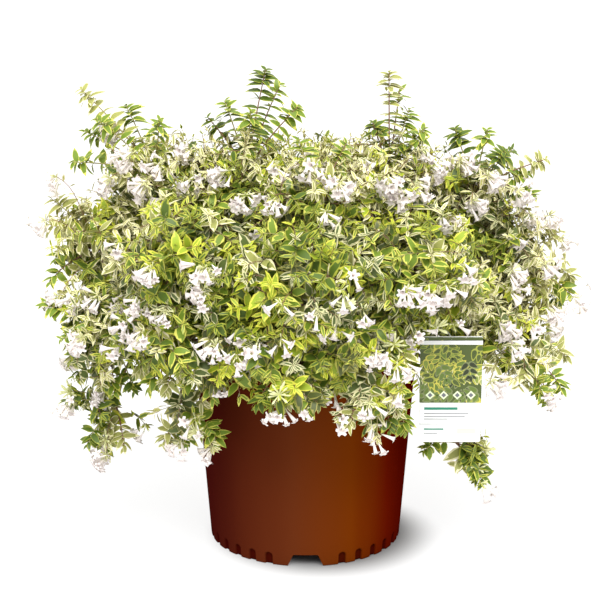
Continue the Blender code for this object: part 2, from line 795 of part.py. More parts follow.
def build_label(route, home, finish):
    """The card at the pot's right and its strap, looped round a cane. Returns the strap's points."""
    bm = bmesh.new()
    bmesh.ops.create_cube(bm, size=1.0)
    scale = Matrix.Diagonal((CARD_WIDTH, CARD_THICKNESS, CARD_HEIGHT, 1.0))
    bmesh.ops.transform(bm, matrix=Matrix.Translation(CARD_CENTRE) @ scale, verts=bm.verts)
    card = add_object("label", mesh_from(bm, "label"), home)
    pieces = collection("label_pieces")
    held = route[CARD_CANE_POINT]
    along = (route[CARD_CANE_POINT + 1] - route[CARD_CANE_POINT - 1]).normalized()
    loop_radius = cane_radii()[CARD_CANE_POINT] + LOOP_GAP + STRAP_RADIUS
    level, raised = across_frame(along)
    ring = []
    for step in range(LOOP_STEPS):
        angle = math.tau * step / LOOP_STEPS
        ring.append(held + loop_radius * (level * math.cos(angle) + raised * math.sin(angle)))
    loop = tube("loop", ring, [STRAP_RADIUS] * LOOP_STEPS, pieces, closed=True)
    top = CARD_CENTRE + UP * (CARD_HEIGHT / 2 - HOLE_FROM_EDGE)
    nearest = min(ring, key=lambda point: (point - top).length)
    first_handle = nearest.lerp(top, TAIL_START) + UP * TAIL_SAG
    strap = interpolate_bezier(nearest, first_handle, top + UP * TAIL_SAG, top, TAIL_POINTS)
    tail = tube("tail", strap, [TAIL_RADIUS] * TAIL_POINTS, pieces)
    for curve in (loop, tail):
        add_object(curve.name + "_mesh", welded_mesh(curve), pieces)
        bpy.data.objects.remove(curve)
    union = card.modifiers.new("fuse", "BOOLEAN")
    union.operation = "UNION"
    union.operand_type = "COLLECTION"
    union.collection = pieces
    largest_body(settle(card).data)
    card.data.materials.append(finish)
    remove_collection(pieces)
    return strap


def main():
    clear_scene()
    home = collection("potted_abelia")
    plastic = material("pot_plastic", (0.16, 0.035, 0.012), 0.42)
    mix = material("potting_mix", (0.045, 0.028, 0.018), 0.95)
    bark = material("abelia_bark", (0.24, 0.13, 0.085), 0.85)
    foliage = material("abelia_foliage", (0.40, 0.50, 0.16), 0.55)
    card = material("label_card", (0.88, 0.89, 0.86), 0.35)
    build_pot(home, plastic)
    build_soil(home, mix)
    build_crown(home, bark)
    obstacles = Obstacles()
    routes = {}
    for mass, start in zip(MASSES, cane_starts()):
        routes[mass.name] = cane_route(mass, start)
        tube("cane_" + mass.name, routes[mass.name], cane_radii(), home, bark)
        obstacles.add_limb(mass.name, routes[mass.name], cane_radii())
    strap = build_label(routes[CARD_CANE], home, card)
    obstacles.add_limb("strap", strap, [STRAP_RADIUS] * len(strap))
    obstacles.finish()
    leaf, flower = leaf_data(), flower_data()
    for index, mass in enumerate(MASSES):
        Growth(mass, index, routes[mass.name], obstacles, leaf, flower).fused(home, foliage)


main()
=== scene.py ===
"""The looks of a potted variegated abelia: bark, foliage, blossom, nursery pot, potting mix and label.

Metres, +Z up, the front towards -Y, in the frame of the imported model. The masses, canes and label stand
where the model has them. Each mass is grown again by the same rule and carried on to finer twigs."""

import math
import random
from collections import namedtuple

import bmesh
import bpy
import numpy as np
from mathutils import Matrix, Vector, noise
from mathutils.geometry import interpolate_bezier

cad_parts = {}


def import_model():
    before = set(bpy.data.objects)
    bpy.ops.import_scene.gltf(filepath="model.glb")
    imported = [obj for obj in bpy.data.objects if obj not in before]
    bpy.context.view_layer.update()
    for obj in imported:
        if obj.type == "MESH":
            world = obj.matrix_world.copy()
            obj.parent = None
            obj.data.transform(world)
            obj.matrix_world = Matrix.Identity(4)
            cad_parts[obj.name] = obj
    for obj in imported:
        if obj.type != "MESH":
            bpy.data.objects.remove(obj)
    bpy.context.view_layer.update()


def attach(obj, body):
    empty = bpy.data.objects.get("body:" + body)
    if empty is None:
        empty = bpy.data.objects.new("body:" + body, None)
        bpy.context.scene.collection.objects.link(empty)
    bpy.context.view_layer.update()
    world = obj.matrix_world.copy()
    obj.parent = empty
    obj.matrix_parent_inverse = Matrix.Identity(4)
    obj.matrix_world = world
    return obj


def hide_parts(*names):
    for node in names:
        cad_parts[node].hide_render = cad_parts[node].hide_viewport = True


SEED = 5
UP = Vector((0.0, 0.0, 1.0))
DEPTH = Vector((0.0, 1.0, 0.0))  # away from the front
GOLDEN_ANGLE = math.pi * (3 - math.sqrt(5))
BODY = "root"
SHARP, SHARP_ON_POT = math.radians(35), math.radians(40)  # edges that turn more are shaded sharp

# The camera and the light
LENS = 99.03
SENSOR = 36.0
FRAME = 600  # pixels across the camera's square frame
CAMERA_PLACE = (-0.0069, -2.027, 0.828)
CAMERA_DOWN = 0.2499  # radians below level
SIGHT = (1.6, 2.35, 0.005)  # from, to and step of the search along a line of sight
FLOOR_RADIUS = 30.0
FLOOR_GLOW = 0.80  # keeps the shadow on the white ground faint, and fades out under the pot
# The painted shadow on the ground: round this centre the glow is gone up to the first distance and full
# from the second on, so the ground is darker under the pot and to its right
PAINTED_SHADOW_CENTRE = (0.024, -0.012, 0.0)
PAINTED_SHADOW_FADE = (0.088, 0.160)
SKY_STRENGTH = 1.10
SUN_STRENGTH = 2.7
SUN_ANGLE = math.radians(34)
SUN_PLACE = Vector((0.2, -1.7, 2.5))
SUN_TARGET = Vector((0.0, 0.0, 0.2))

# The pot
POT_HEIGHT = 0.249
RIM_RADIUS = 0.143
RIM_HEIGHT = 0.023
RIM_STEP = 0.0030
FOOT_RADIUS = 0.1228
FOOT_RING = 0.011
WALL = 0.0026
DRAIN_HEIGHT = 0.017
PAD_RADIUS = 0.060
NOTCHES = 3
NOTCH_HEIGHT = 0.0160
NOTCH_TOP = 0.031
NOTCH_FOOT = 0.0445
DENT_PITCH = math.radians(10.9)
DENTS_BETWEEN_NOTCHES = 8
DENT_WIDTH = 0.0104
DENT_DEPTH = 0.0036
DENT_HEIGHT = 0.0165
DENT_SLOPE = 0.0013  # from a dent's edge to its full depth
# The plastic's painted light and shade, from the pot's left to its right: darker towards both edges, and
# lightest right of the middle as a painted highlight
POT_PAINTED_LIGHT_BANDS = (
    (0.09, "3F0F0B"), (0.26, "52200F"), (0.44, "5E2A12"),
    (0.70, "6A2D04"), (0.86, "580F01"), (0.93, "4A0600"),
)

# The soil and the woody crown on it
SOIL_TOP = 0.222
SOIL_DOME = 0.006
CHIPS, GRIT_EACH = 600, 6  # pieces in the soil's surface, and one in how many is grit
GRIT_SIZE = (0.0022, 0.0020)
CROWN_RADIUS = 0.027
CROWN_NECK = 0.021
CROWN_FLARE = 0.032
CROWN_RISE = 0.031
CLEARANCE = 0.0003

# The canes
CANE_FOOT = 0.0027
CANE_TIP = 0.0016
CANE_POINTS = 8
CANE_SPACING = math.radians(13.5)
LOWEST_CANE = math.radians(32)
STEEPEST_CANE = math.radians(84)
HEIGHT_OF_FLAT_CANE = 0.16
HEIGHT_OF_STEEP_CANE = 0.50
ARRIVE_LOW = math.radians(-86)
ARRIVE_HIGH = math.radians(72)
CANE_RISE = 0.42
CANE_DROOP = 0.36
ENTRY_SHARE = 0.86
CANE_SIDES = 8
CANE_RINGS = 44

# The foliage
SPACE_GAP = 0.0024
TWIG_FACTOR = 1.38  # directions tried in a mass for each twig that its table row gives
LEAF_OVER = 0.014  # how far leaf tips stand out of a mass's ellipsoid
LEAF_LENGTH = 0.0240
LEAF_TAPER = 0.45  # how much shorter the leaves get towards a twig's tip
SHOOT_LEAF_LENGTH = 0.0170  # on the long shoots that stand out of the crown
INNER_LEAF_LENGTH = 0.027
PAIR_PITCH = 0.0120
SHOOT_PITCH = 0.0150
TOP_PITCH = 0.0036
TOP_TURN = math.radians(65)
TOP_LEAVES = (0.95, 0.95, 0.90, 0.80, 0.65, 0.45)  # length of each pair in a long shoot's crowded top
NEAR_SPAN, BRIDGE_SPAN = 0.165, 0.225  # masses nearer than this grow two boughs, or one, between them
SIDE_LENGTH, LEAST_SHOOT = 0.050, 0.014
INNER_LENGTH = 0.055
INNER_PITCH = 0.024  # between side shoots along a cane
INNER_PAIR_PITCH = 0.014
BOUGH_RADIUS = 0.00105
BOUGH_LEAVES = 1.08  # their length for one on a side shoot
SIDE_RADIUS = 0.0006
TWIG_TIP = 0.0004
MOST_LEAVES_IN_A_PIECE = 6000
FINE_BELOW = 0.0175  # leaves shorter than this are of the fine kind
FLOWER_LENGTH = 0.0175
BUD_LENGTH = 0.0155
# More flowers at the crown's sides and top, where some hide others: how many more, from where on
SIDE_BLOSSOM, SIDE_BLOSSOM_FROM = 0.9, (0.08, 0.10)
TOP_BLOSSOM, TOP_BLOSSOM_FROM = 0.8, (0.44, 0.03)
FRONT_BLOSSOM_ODDS, BACK_BLOSSOM_ODDS = 0.02, 0.16  # of a side shoot that ends near the surface
SURFACE_DEPTH, SHADE_DEPTH = 0.82, 0.6  # near the surface from here out, and in the shade up to here
RAGGED_IN, RAGGED_OUT, RAGGED_TOP = 0.014, 0.004, 0.016  # how far short of or past the reach shoots end
# Where side shoots leave a bough, as shares of its length
FORKS, HANGING_FORKS, BRIDGE_FORKS = (0.22, 0.45, 0.66, 0.84), (0.35, 0.70), (0.50, 0.75, 0.95)
INNER_FROM = 0.42  # share of a cane below its first side shoot
TUFT = ((0.35, 0.80), (0.75, 0.62))  # pairs of leaves at a tip: how far they lean along it, and size
INWARD_MOST = -0.42  # how far a bough may point into the plant, as a cosine
PLANT_HEART = Vector((0.0, 0.0, 0.30))
BACK_FROM = 0.06  # how far back the middle of a mass of the back is
# Parts of the crown, each as where it begins and over what distance it is reached
TOP_FROM = (0.42, 0.07)
SIDES_FROM = (0.14, 0.12)
LOW_FROM = (-0.33, 0.10)  # measured downwards
MIDDLE_REACH = 0.27

# The label
CARD_CENTRE = Vector((0.1730, -0.142, 0.2365))
CARD_WIDTH = 0.074
CARD_HEIGHT = 0.132
CARD_THICKNESS = 0.0012
CARD_CORNER = 0.0022
STRAP_RADIUS = 0.0012
STRAP_STEPS = 40
LOOP_GAP = 0.0005
CARD_CLEAR = 0.15  # nothing grows this far in front of its face
CARD_CANE = "card_side"
CARD_CANE_POINT = 5

Mass = namedtuple("Mass", "name centre radii twigs tips")
MASSES = (
    Mass("top_left", (-0.073, 0.000, 0.474), (0.085, 0.095, 0.052), 6,
         ((-0.048, 0.000, 0.607), (-0.006, -0.010, 0.562), (-0.101, 0.000, 0.568))),
    Mass("top_right", (0.104, 0.000, 0.468), (0.080, 0.095, 0.052), 6,
         ((0.102, 0.000, 0.604), (0.130, 0.015, 0.556))),
    Mass("top_front", (0.013, -0.120, 0.449), (0.075, 0.112, 0.062), 6, ()),
    Mass("top_back", (0.014, 0.125, 0.440), (0.085, 0.125, 0.060), 7, ()),
    Mass("upper_left", (-0.190, 0.045, 0.458), (0.070, 0.105, 0.062), 6,
         ((-0.283, 0.030, 0.578), (-0.228, 0.050, 0.556), (-0.297, 0.010, 0.487))),
    Mass("upper_right", (0.214, 0.045, 0.438), (0.072, 0.105, 0.062), 6,
         ((0.286, 0.030, 0.470), (0.266, 0.050, 0.500), (0.186, 0.030, 0.530))),
    Mass("left", (-0.256, 0.010, 0.375), (0.062, 0.115, 0.070), 6,
         ((-0.330, 0.015, 0.408), (-0.326, 0.035, 0.438))),
    Mass("right", (0.266, 0.010, 0.352), (0.062, 0.115, 0.070), 6,
         ((0.340, 0.010, 0.313), (0.326, 0.020, 0.399))),
    Mass("front_left", (-0.140, -0.158, 0.396), (0.072, 0.100, 0.072), 7, ()),
    Mass("front_centre", (-0.005, -0.212, 0.380), (0.070, 0.090, 0.072), 7, ()),
    Mass("front_right", (0.134, -0.166, 0.388), (0.072, 0.100, 0.070), 7, ()),
    Mass("lower_left", (-0.243, -0.075, 0.285), (0.060, 0.100, 0.062), 6,
         ((-0.327, -0.060, 0.324), (-0.290, -0.085, 0.252))),
    Mass("lower_right", (0.252, -0.065, 0.272), (0.062, 0.100, 0.058), 6,
         ((0.333, -0.040, 0.245), (0.310, -0.055, 0.190))),
    Mass("low_front_left", (-0.134, -0.175, 0.308), (0.066, 0.090, 0.056), 6, ()),
    Mass("low_front", (-0.016, -0.215, 0.296), (0.064, 0.085, 0.054), 6,
         ((-0.024, -0.225, 0.238),)),
    Mass("low_front_right", (0.084, -0.195, 0.276), (0.062, 0.075, 0.056), 6,
         ((0.074, -0.212, 0.202),)),
    Mass("card_side", (0.185, -0.085, 0.320), (0.056, 0.062, 0.056), 5, ()),
    Mass("hang_left", (-0.239, -0.040, 0.183), (0.050, 0.056, 0.044), 5,
         ((-0.309, -0.020, 0.184), (-0.260, -0.040, 0.112))),
    Mass("hang_front_left", (-0.143, -0.135, 0.208), (0.042, 0.048, 0.040), 4,
         ((-0.149, -0.130, 0.157), (-0.100, -0.155, 0.168))),
    Mass("hang_right", (0.186, -0.085, 0.150), (0.034, 0.040, 0.034), 3,
         ((0.224, -0.100, 0.099), (0.227, -0.085, 0.142))),
    Mass("back_left", (-0.175, 0.170, 0.382), (0.078, 0.115, 0.078), 7, ()),
    Mass("back_right", (0.180, 0.170, 0.378), (0.078, 0.115, 0.078), 7, ()),
    Mass("back_centre", (0.000, 0.235, 0.372), (0.072, 0.110, 0.078), 7, ()),
    Mass("low_back_left", (-0.190, 0.150, 0.285), (0.075, 0.115, 0.062), 6,
         ((-0.240, 0.190, 0.215),)),
    Mass("low_back_right", (0.190, 0.150, 0.280), (0.075, 0.115, 0.062), 6,
         ((0.225, 0.200, 0.205),)),
    Mass("low_back", (0.000, 0.230, 0.285), (0.070, 0.110, 0.060), 6,
         ((0.010, 0.285, 0.218),)),
)

# Masses with open strands: the share of their boughs that grow
OPEN_MASSES = {
    "hang_right": 0.40, "hang_left": 0.60, "hang_front_left": 0.45, "lower_right": 0.65,
    "lower_left": 1.10, "right": 0.90, "upper_right": 0.90, "upper_left": 0.80,
    "low_front": 0.66, "low_front_left": 0.80, "low_front_right": 0.85,
}
# Where the sky shows past a mass: directions, and how far out of its centre it may grow that way
OPEN_SIDES = {
    "left": (((-0.7, 0.0, -0.7), 0.042),),
    "right": (((1.0, 0.0, 0.0), 0.040),),
    "upper_right": (((0.8, 0.0, 0.6), 0.038), ((0.0, 0.0, 1.0), 0.036)),
    "upper_left": (((0.0, 0.0, 1.0), 0.048),),
    "lower_left": (((-1.0, 0.0, 0.0), 0.050),),
    "lower_right": (((0.0, 0.0, -1.0), 0.036), ((1.0, 0.0, 0.0), 0.046)),
    "hang_left": (((0.8, 0.0, -0.6), 0.028), ((-0.8, 0.0, -0.6), 0.032)),
}
# More long shoots, too fine for the solids, by mass
FINE_SHOOTS = {
    "top_left": ((-0.066, -0.030, 0.560), (-0.030, 0.030, 0.585), (-0.125, 0.020, 0.545)),
    "top_right": ((0.080, -0.020, 0.545), (0.150, -0.010, 0.535), (0.118, 0.030, 0.580)),
    "top_front": ((0.050, -0.090, 0.530), (-0.010, -0.080, 0.535)),
    "upper_left": ((-0.262, 0.000, 0.545), (-0.180, 0.000, 0.545), (-0.285, 0.060, 0.520)),
    "upper_right": (
        (0.228, 0.020, 0.530), (0.296, 0.030, 0.440), (0.250, 0.000, 0.505), (0.306, 0.020, 0.490),
    ),
    "left": ((-0.322, 0.000, 0.360), (-0.318, 0.040, 0.395), (-0.325, -0.020, 0.335)),
    "right": ((0.335, 0.000, 0.360), (0.330, 0.030, 0.290), (0.346, 0.010, 0.335)),
    "lower_left": ((-0.300, -0.110, 0.290), (-0.206, -0.115, 0.220), (-0.232, -0.110, 0.214)),
    "lower_right": ((0.320, -0.090, 0.215), (0.290, -0.120, 0.215)),
    "hang_left": ((-0.275, -0.080, 0.140), (-0.225, -0.080, 0.135)),
    "hang_front_left": ((-0.175, -0.150, 0.165), (-0.110, -0.170, 0.190)),
    "hang_right": ((0.140, -0.116, 0.148), (0.208, -0.110, 0.120)),
    "low_front": ((0.005, -0.245, 0.235), (-0.060, -0.235, 0.240)),
    "low_front_right": ((0.098, -0.220, 0.205), (0.120, -0.190, 0.195), (0.045, -0.235, 0.215)),
    "low_front_left": (
        (-0.105, -0.200, 0.235), (-0.190, -0.150, 0.234), (-0.168, -0.170, 0.236), (-0.206, -0.140, 0.252),
    ),
    "low_back": ((-0.085, 0.250, 0.322), (0.088, 0.250, 0.322)),
    "low_back_left": ((-0.112, 0.165, 0.306), (-0.110, 0.215, 0.318), (-0.105, 0.190, 0.296)),
    "low_back_right": ((0.112, 0.175, 0.308), (0.110, 0.215, 0.318)),
}

# Where blossom shows in the camera's frame: pixels across and down, and how many flowers
BLOSSOM = (
    (117, 128, 7), (57, 177, 2), (45, 220, 3), (160, 165, 5), (146, 184, 5), (167, 198, 6), (182, 184, 3),
    (226, 171, 6), (246, 195, 6), (271, 200, 4), (275, 165, 3), (340, 182, 5), (389, 180, 7), (399, 190, 7),
    (415, 186, 4), (433, 166, 7), (443, 215, 4), (487, 176, 7), (549, 215, 4), (561, 238, 3), (508, 236, 6),
    (545, 262, 6), (512, 270, 6), (463, 267, 2), (512, 288, 2), (573, 297, 3), (548, 309, 6), (533, 324, 2),
    (352, 274, 3), (342, 290, 3), (406, 290, 8), (430, 295, 6), (449, 287, 2), (363, 310, 2), (319, 312, 2),
    (419, 328, 4), (453, 324, 5), (500, 326, 8), (60, 297, 6), (78, 296, 4), (98, 295, 3), (123, 301, 4),
    (141, 303, 5), (165, 311, 4), (127, 322, 5), (82, 338, 8), (117, 342, 2), (204, 268, 8), (203, 291, 5),
    (120, 243, 2), (152, 268, 6), (253, 227, 1), (282, 305, 2), (240, 332, 3), (259, 338, 3), (281, 338, 3),
    (216, 346, 9), (237, 355, 3), (72, 402, 6), (105, 392, 5), (146, 425, 1), (106, 455, 7), (196, 419, 3),
    (180, 443, 4), (213, 447, 5), (279, 406, 8), (306, 410, 2), (338, 332, 3), (374, 335, 4), (374, 352, 9),
    (398, 364, 6), (413, 334, 5), (512, 345, 3), (490, 382, 5), (545, 393, 5), (399, 391, 2), (369, 403, 5),
    (338, 416, 3), (368, 424, 5), (377, 438, 3), (481, 483, 1), (130, 155, 4), (190, 150, 4), (110, 178, 4),
    (460, 160, 5), (472, 200, 5), (518, 190, 4), (530, 215, 3), (315, 165, 3), (360, 160, 3),
)
# Heads of pale buds and spent calyces, in the same frame, and how many
BUD_HEADS = (
    (346, 307, 14), (279, 395, 14), (70, 392, 10), (106, 440, 8), (196, 432, 12),
    (394, 345, 12), (436, 328, 12), (484, 450, 6), (478, 468, 6), (205, 280, 7),
)

# Leaf colours: the margin's and the middle's, as display codes
TINTS = {
    "lime": ("D6D34C", "9CB02A"),
    "fresh": ("CECC5C", "728A2A"),
    "cream": ("F2EBBC", "A4A65C"),
    "young": ("F4ECC6", "C8C674"),
    "dark": ("DED9A8", "5C6A36"),
    "deep": ("A4A93C", "52681F"),
    "shade": ("928E48", "50582A"),
}
# Patches of painted shade on the front, where dark green leaves are likelier: across, up, and how wide and
# high
PAINTED_SHADE_PATCHES = (
    (-0.035, 0.445, 0.130, 0.040), (-0.120, 0.320, 0.070, 0.040), (0.020, 0.400, 0.070, 0.035),
    (0.205, 0.368, 0.050, 0.035), (-0.065, 0.285, 0.060, 0.030), (-0.200, 0.305, 0.028, 0.030),
)


def srgb(code):
    """A linear colour from the six hexadecimal digits of a display colour."""
    shares = [int(code[i : i + 2], 16) / 255 for i in (0, 2, 4)]
    return tuple(s / 12.92 if s <= 0.04045 else ((s + 0.055) / 1.055) ** 2.4 for s in shares)


def portion(value, low, span):
    """0 up to low, 1 from low + span on, and even between."""
    return min(1.0, max(0.0, (value - low) / span))


def polar(radius, angle):
    return radius * math.cos(angle), radius * math.sin(angle)


def angles_round(count):
    return [math.tau * step / count for step in range(count)]


# ---------------------------------------------------------------- materials


def finish(name, code, roughness, **sockets):
    """A Principled material of one colour. Other sockets are given by name, with _ for a space."""
    made = bpy.data.materials.new(name)
    made.use_nodes = True
    shader = made.node_tree.nodes["Principled BSDF"]
    shader.inputs["Base Color"].default_value = (*srgb(code), 1.0)
    shader.inputs["Roughness"].default_value = roughness
    for socket, value in sockets.items():
        shader.inputs[socket.replace("_", " ")].default_value = value
    return made


class Nodes:
    """Short calls that add nodes to a material and link them."""

    def __init__(self, material):
        self.tree = material.node_tree
        self.shader = self.tree.nodes["Principled BSDF"]
        self.place = self.add("TexCoord", "Object")

    def link(self, output, socket):
        self.tree.links.new(output, socket)

    def add(self, kind, output, links=(), values=(), **settings):
        """One output of a new node, whose inputs get links and plain values by name or index."""
        node = self.tree.nodes.new("ShaderNode" + kind)
        for name, value in settings.items():
            setattr(node, name, value)
        for socket, value in dict(values).items():
            node.inputs[socket].default_value = value
        for socket, source in dict(links).items():
            self.link(source, node.inputs[socket])
        return node.outputs[output]

    def stretched(self, *scale):
        """Object coordinates scaled unevenly."""
        return self.add("Mapping", "Vector", {"Vector": self.place}, {"Scale": scale})

    def noise(self, scale, detail, roughness=0.55, vector=None):
        values = {"Scale": scale, "Detail": detail, "Roughness": roughness}
        return self.add("TexNoise", "Fac", {"Vector": vector or self.place}, values)

    def ramp(self, value, stops):
        """A colour ramp. Each stop is (place, display code)."""
        colour = self.add("ValToRGB", "Color", {"Fac": value})
        elements = colour.node.color_ramp.elements
        for spot, code in stops[2:]:
            elements.new(spot)
        for element, (spot, code) in zip(elements, stops):
            element.position = spot
            element.color = (*srgb(code), 1.0)
        return colour

    def sum(self, first, second):
        return self.add("Math", "Value", {0: first, 1: second})

    def spread(self, value, low, high, from_low=0.0, from_high=1.0, kind="LINEAR"):
        """A value mapped from one range to another."""
        ends = {"From Min": from_low, "From Max": from_high, "To Min": low, "To Max": high}
        return self.add("MapRange", "Result", {"Value": value}, ends, interpolation_type=kind)

    def distance(self, point, vector=None):
        """How far a place is from a point."""
        return self.add("VectorMath", "Value", {0: vector or self.place}, {1: point}, operation="DISTANCE")

    def fade(self, share, first, second):
        """A colour output that fades to a plain colour."""
        node = self.tree.nodes.new("ShaderNodeMix")
        node.data_type = "RGBA"
        sockets = {socket.identifier: socket for socket in [*node.inputs, *node.outputs]}
        self.link(share, sockets["Factor_Float"])
        self.link(first, sockets["A_Color"])
        sockets["B_Color"].default_value = (*srgb(second), 1.0)
        return sockets["Result_Color"]

    def bump(self, height, strength, distance):
        values = {"Strength": strength, "Distance": distance}
        self.link(self.add("Bump", "Normal", {"Height": height}, values), self.shader.inputs["Normal"])

    def colour(self, output):
        self.link(output, self.shader.inputs["Base Color"])


def plastic_finish():
    """Red-brown moulded polypropylene with faint flow streaks, painted light in broad soft bands across it,
    and painted shade in its dents.
    """
    made = finish("pot_plastic_finish", "652804", 0.5, Specular_IOR_Level=0.0)
    nodes = Nodes(made)
    across = nodes.add("SeparateXYZ", "X", {"Vector": nodes.place})
    streaks = nodes.noise(18.0, 3.0, 0.5, nodes.stretched(1.0, 1.0, 0.12))
    share = nodes.spread(across, 0.0, 1.0, -RIM_RADIUS, RIM_RADIUS)
    # painted light: the bands run across the pot from left to right, with the streaks mixed in
    painted_light_tone = nodes.ramp(nodes.sum(share, nodes.spread(streaks, -0.05, 0.05)), POT_PAINTED_LIGHT_BANDS)
    level = 0.1  # well above the dents
    height = across.node.outputs["Z"]
    widening = nodes.spread(height, 0.0, wall_radius(level) - FOOT_RADIUS, 0.0, level)
    radius = nodes.distance((0.0, 0.0, 0.0), nodes.stretched(1.0, 1.0, 0.0))
    inward = nodes.sum(widening, nodes.spread(radius, 0.0, -1.0))
    # painted shade: a dark red where the wall lies further in than its straight line, in the dents
    painted_dent_shade = nodes.spread(inward, 0.0, 0.85, -FOOT_RADIUS + 0.0006, -FOOT_RADIUS + 0.0026)
    nodes.colour(nodes.fade(painted_dent_shade, painted_light_tone, "3A0503"))
    nodes.bump(nodes.noise(900.0, 3.0), 0.10, 0.0003)
    return made


def soil_finish():
    made = finish("potting_mix_finish", "3A2A1E", 0.95)
    nodes = Nodes(made)
    tones = ((0.30, "1C130D"), (0.55, "3B2A1D"), (0.78, "6B543C"))
    nodes.colour(nodes.ramp(nodes.noise(160.0, 8.0, 0.7), tones))
    nodes.bump(nodes.noise(420.0, 8.0, 0.7), 0.9, 0.003)
    return made


def bark_finish():
    """Brown-grey bark that shreds in long thin strips."""
    made = finish("bark_finish", "7A5A44", 0.85)
    nodes = Nodes(made)
    grain = nodes.noise(300.0, 6.0, 0.65, nodes.stretched(1.0, 1.0, 0.18))
    nodes.colour(nodes.ramp(grain, ((0.30, "4A3327"), (0.52, "7C5B45"), (0.74, "A98B70"))))
    nodes.bump(grain, 0.7, 0.001)
    return made


def card_finish():
    made = finish("card_finish", "F4F5F2", 0.38, Coat_Weight=0.25, Coat_Roughness=0.15)
    nodes = Nodes(made)
    nodes.link(nodes.spread(nodes.noise(120.0, 4.0), 0.32, 0.44), nodes.shader.inputs["Roughness"])
    nodes.bump(nodes.noise(700.0, 3.0), 0.05, 0.0002)
    return made


# ---------------------------------------------------------------- meshes


def add_object(name, data):
    obj = bpy.data.objects.new(name, data)
    bpy.context.scene.collection.objects.link(obj)
    return obj


def add_piece(name, data, finishes, slot, *replaced):
    """A visible piece that rides with the plant and stands for CAD nodes."""
    obj = add_object(name, data)
    for one in finishes:
        data.materials.append(one)
    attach(obj, BODY)
    if replaced:
        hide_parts(*replaced)
    return obj


def mesh_from_arrays(name, points, triangles, marks):
    """A mesh from arrays of points, triangles and each triangle's material index."""
    made = bpy.data.meshes.new(name)
    made.vertices.add(len(points))
    made.vertices.foreach_set("co", np.asarray(points, np.float32).ravel())
    made.loops.add(3 * len(triangles))
    made.loops.foreach_set("vertex_index", np.asarray(triangles, np.int32).ravel())
    made.polygons.add(len(triangles))
    made.polygons.foreach_set("loop_start", 3 * np.arange(len(triangles), dtype=np.int32))
    made.polygons.foreach_set("material_index", np.asarray(marks, np.int32))
    made.polygons.foreach_set("use_smooth", np.full(len(triangles), True))
    made.update(calc_edges=True)
    return made


Template = namedtuple("Template", "points triangles marks")


def copies(name, templates, placed):
    """One mesh of many placed copies. Each entry of placed is (template index, 4x4 matrix)."""
    points, triangles, marks, start = [], [], [], 0
    for index, template in enumerate(templates):
        stack = np.array([matrix for which, matrix in placed if which == index])
        if not len(stack):
            continue
        moved = np.einsum("kij,nj->kni", stack[:, :3, :3], template.points)
        moved += stack[:, None, :3, 3]
        points.append(moved.reshape(-1, 3))
        offsets = start + np.arange(len(stack)) * len(template.points)
        triangles.append((template.triangles[None] + offsets[:, None, None]).reshape(-1, 3))
        marks.append(np.tile(template.marks, len(stack)))
        start += len(stack) * len(template.points)
    return mesh_from_arrays(name, *map(np.concatenate, (points, triangles, marks)))


def grid_triangles(rows, columns, closed):
    """Two triangles for each cell between rows of points. A closed grid goes all the way round."""
    found = []
    for row in range(rows - 1):
        for column in range(columns if closed else columns - 1):
            after = (column + 1) % columns
            a, b = row * columns + column, row * columns + after
            found += [(a, b, b + columns), (a, b + columns, a + columns)]
    return found


def tube_points(route, radii, sides):
    """Rings of points round a route, one ring for each of its points."""
    route = np.array(route, float)
    along = np.gradient(route, axis=0)
    along /= np.linalg.norm(along, axis=1)[:, None]
    spare = np.eye(3)[np.abs(along.mean(axis=0)).argmin()]
    level = np.cross(spare, along)
    level /= np.linalg.norm(level, axis=1)[:, None]
    raised = np.cross(along, level)
    angles = np.arange(sides) * math.tau / sides
    ring = level[:, None] * np.cos(angles)[:, None] + raised[:, None] * np.sin(angles)[:, None]
    radii = np.asarray(radii, float)
    if radii.ndim == 1:
        radii = radii[:, None]
    return (route[:, None] + radii[:, :, None] * ring).reshape(-1, 3)


class Tubes:
    """Tapering tubes gathered for one mesh."""

    def __init__(self):
        self.points, self.triangles, self.marks, self.count = [], [], [], 0

    def add(self, route, radii, sides, mark=0):
        ring = tube_points(route, radii, sides)
        faces = np.array(grid_triangles(len(route), sides, True)) + self.count
        self.points.append(ring)
        self.triangles.append(faces)
        self.marks.append(np.full(len(faces), mark))
        self.count += len(ring)

    def mesh(self, name):
        return mesh_from_arrays(name, *map(np.concatenate, (self.points, self.triangles, self.marks)))


def mesh_from(bm, name):
    """The bmesh as a smooth-shaded mesh with its normals facing out."""
    bmesh.ops.recalc_face_normals(bm, faces=bm.faces)
    made = bpy.data.meshes.new(name)
    bm.to_mesh(made)
    bm.free()
    made.shade_smooth()
    made.set_sharp_from_angle(angle=SHARP)
    return made


def ring_solid(name, rings):
    """A closed solid through rings of points, with a flat cap at each end."""
    bm = bmesh.new()
    rings = [[bm.verts.new(point) for point in ring] for ring in rings]
    for near, far in zip(rings, rings[1:]):
        for i in range(len(near)):
            after = (i + 1) % len(near)
            bm.faces.new((near[i], near[after], far[after], far[i]))
    bm.faces.new(rings[0])
    bm.faces.new(rings[-1])
    return mesh_from(bm, name)


# ---------------------------------------------------------------- templates of leaf and flower

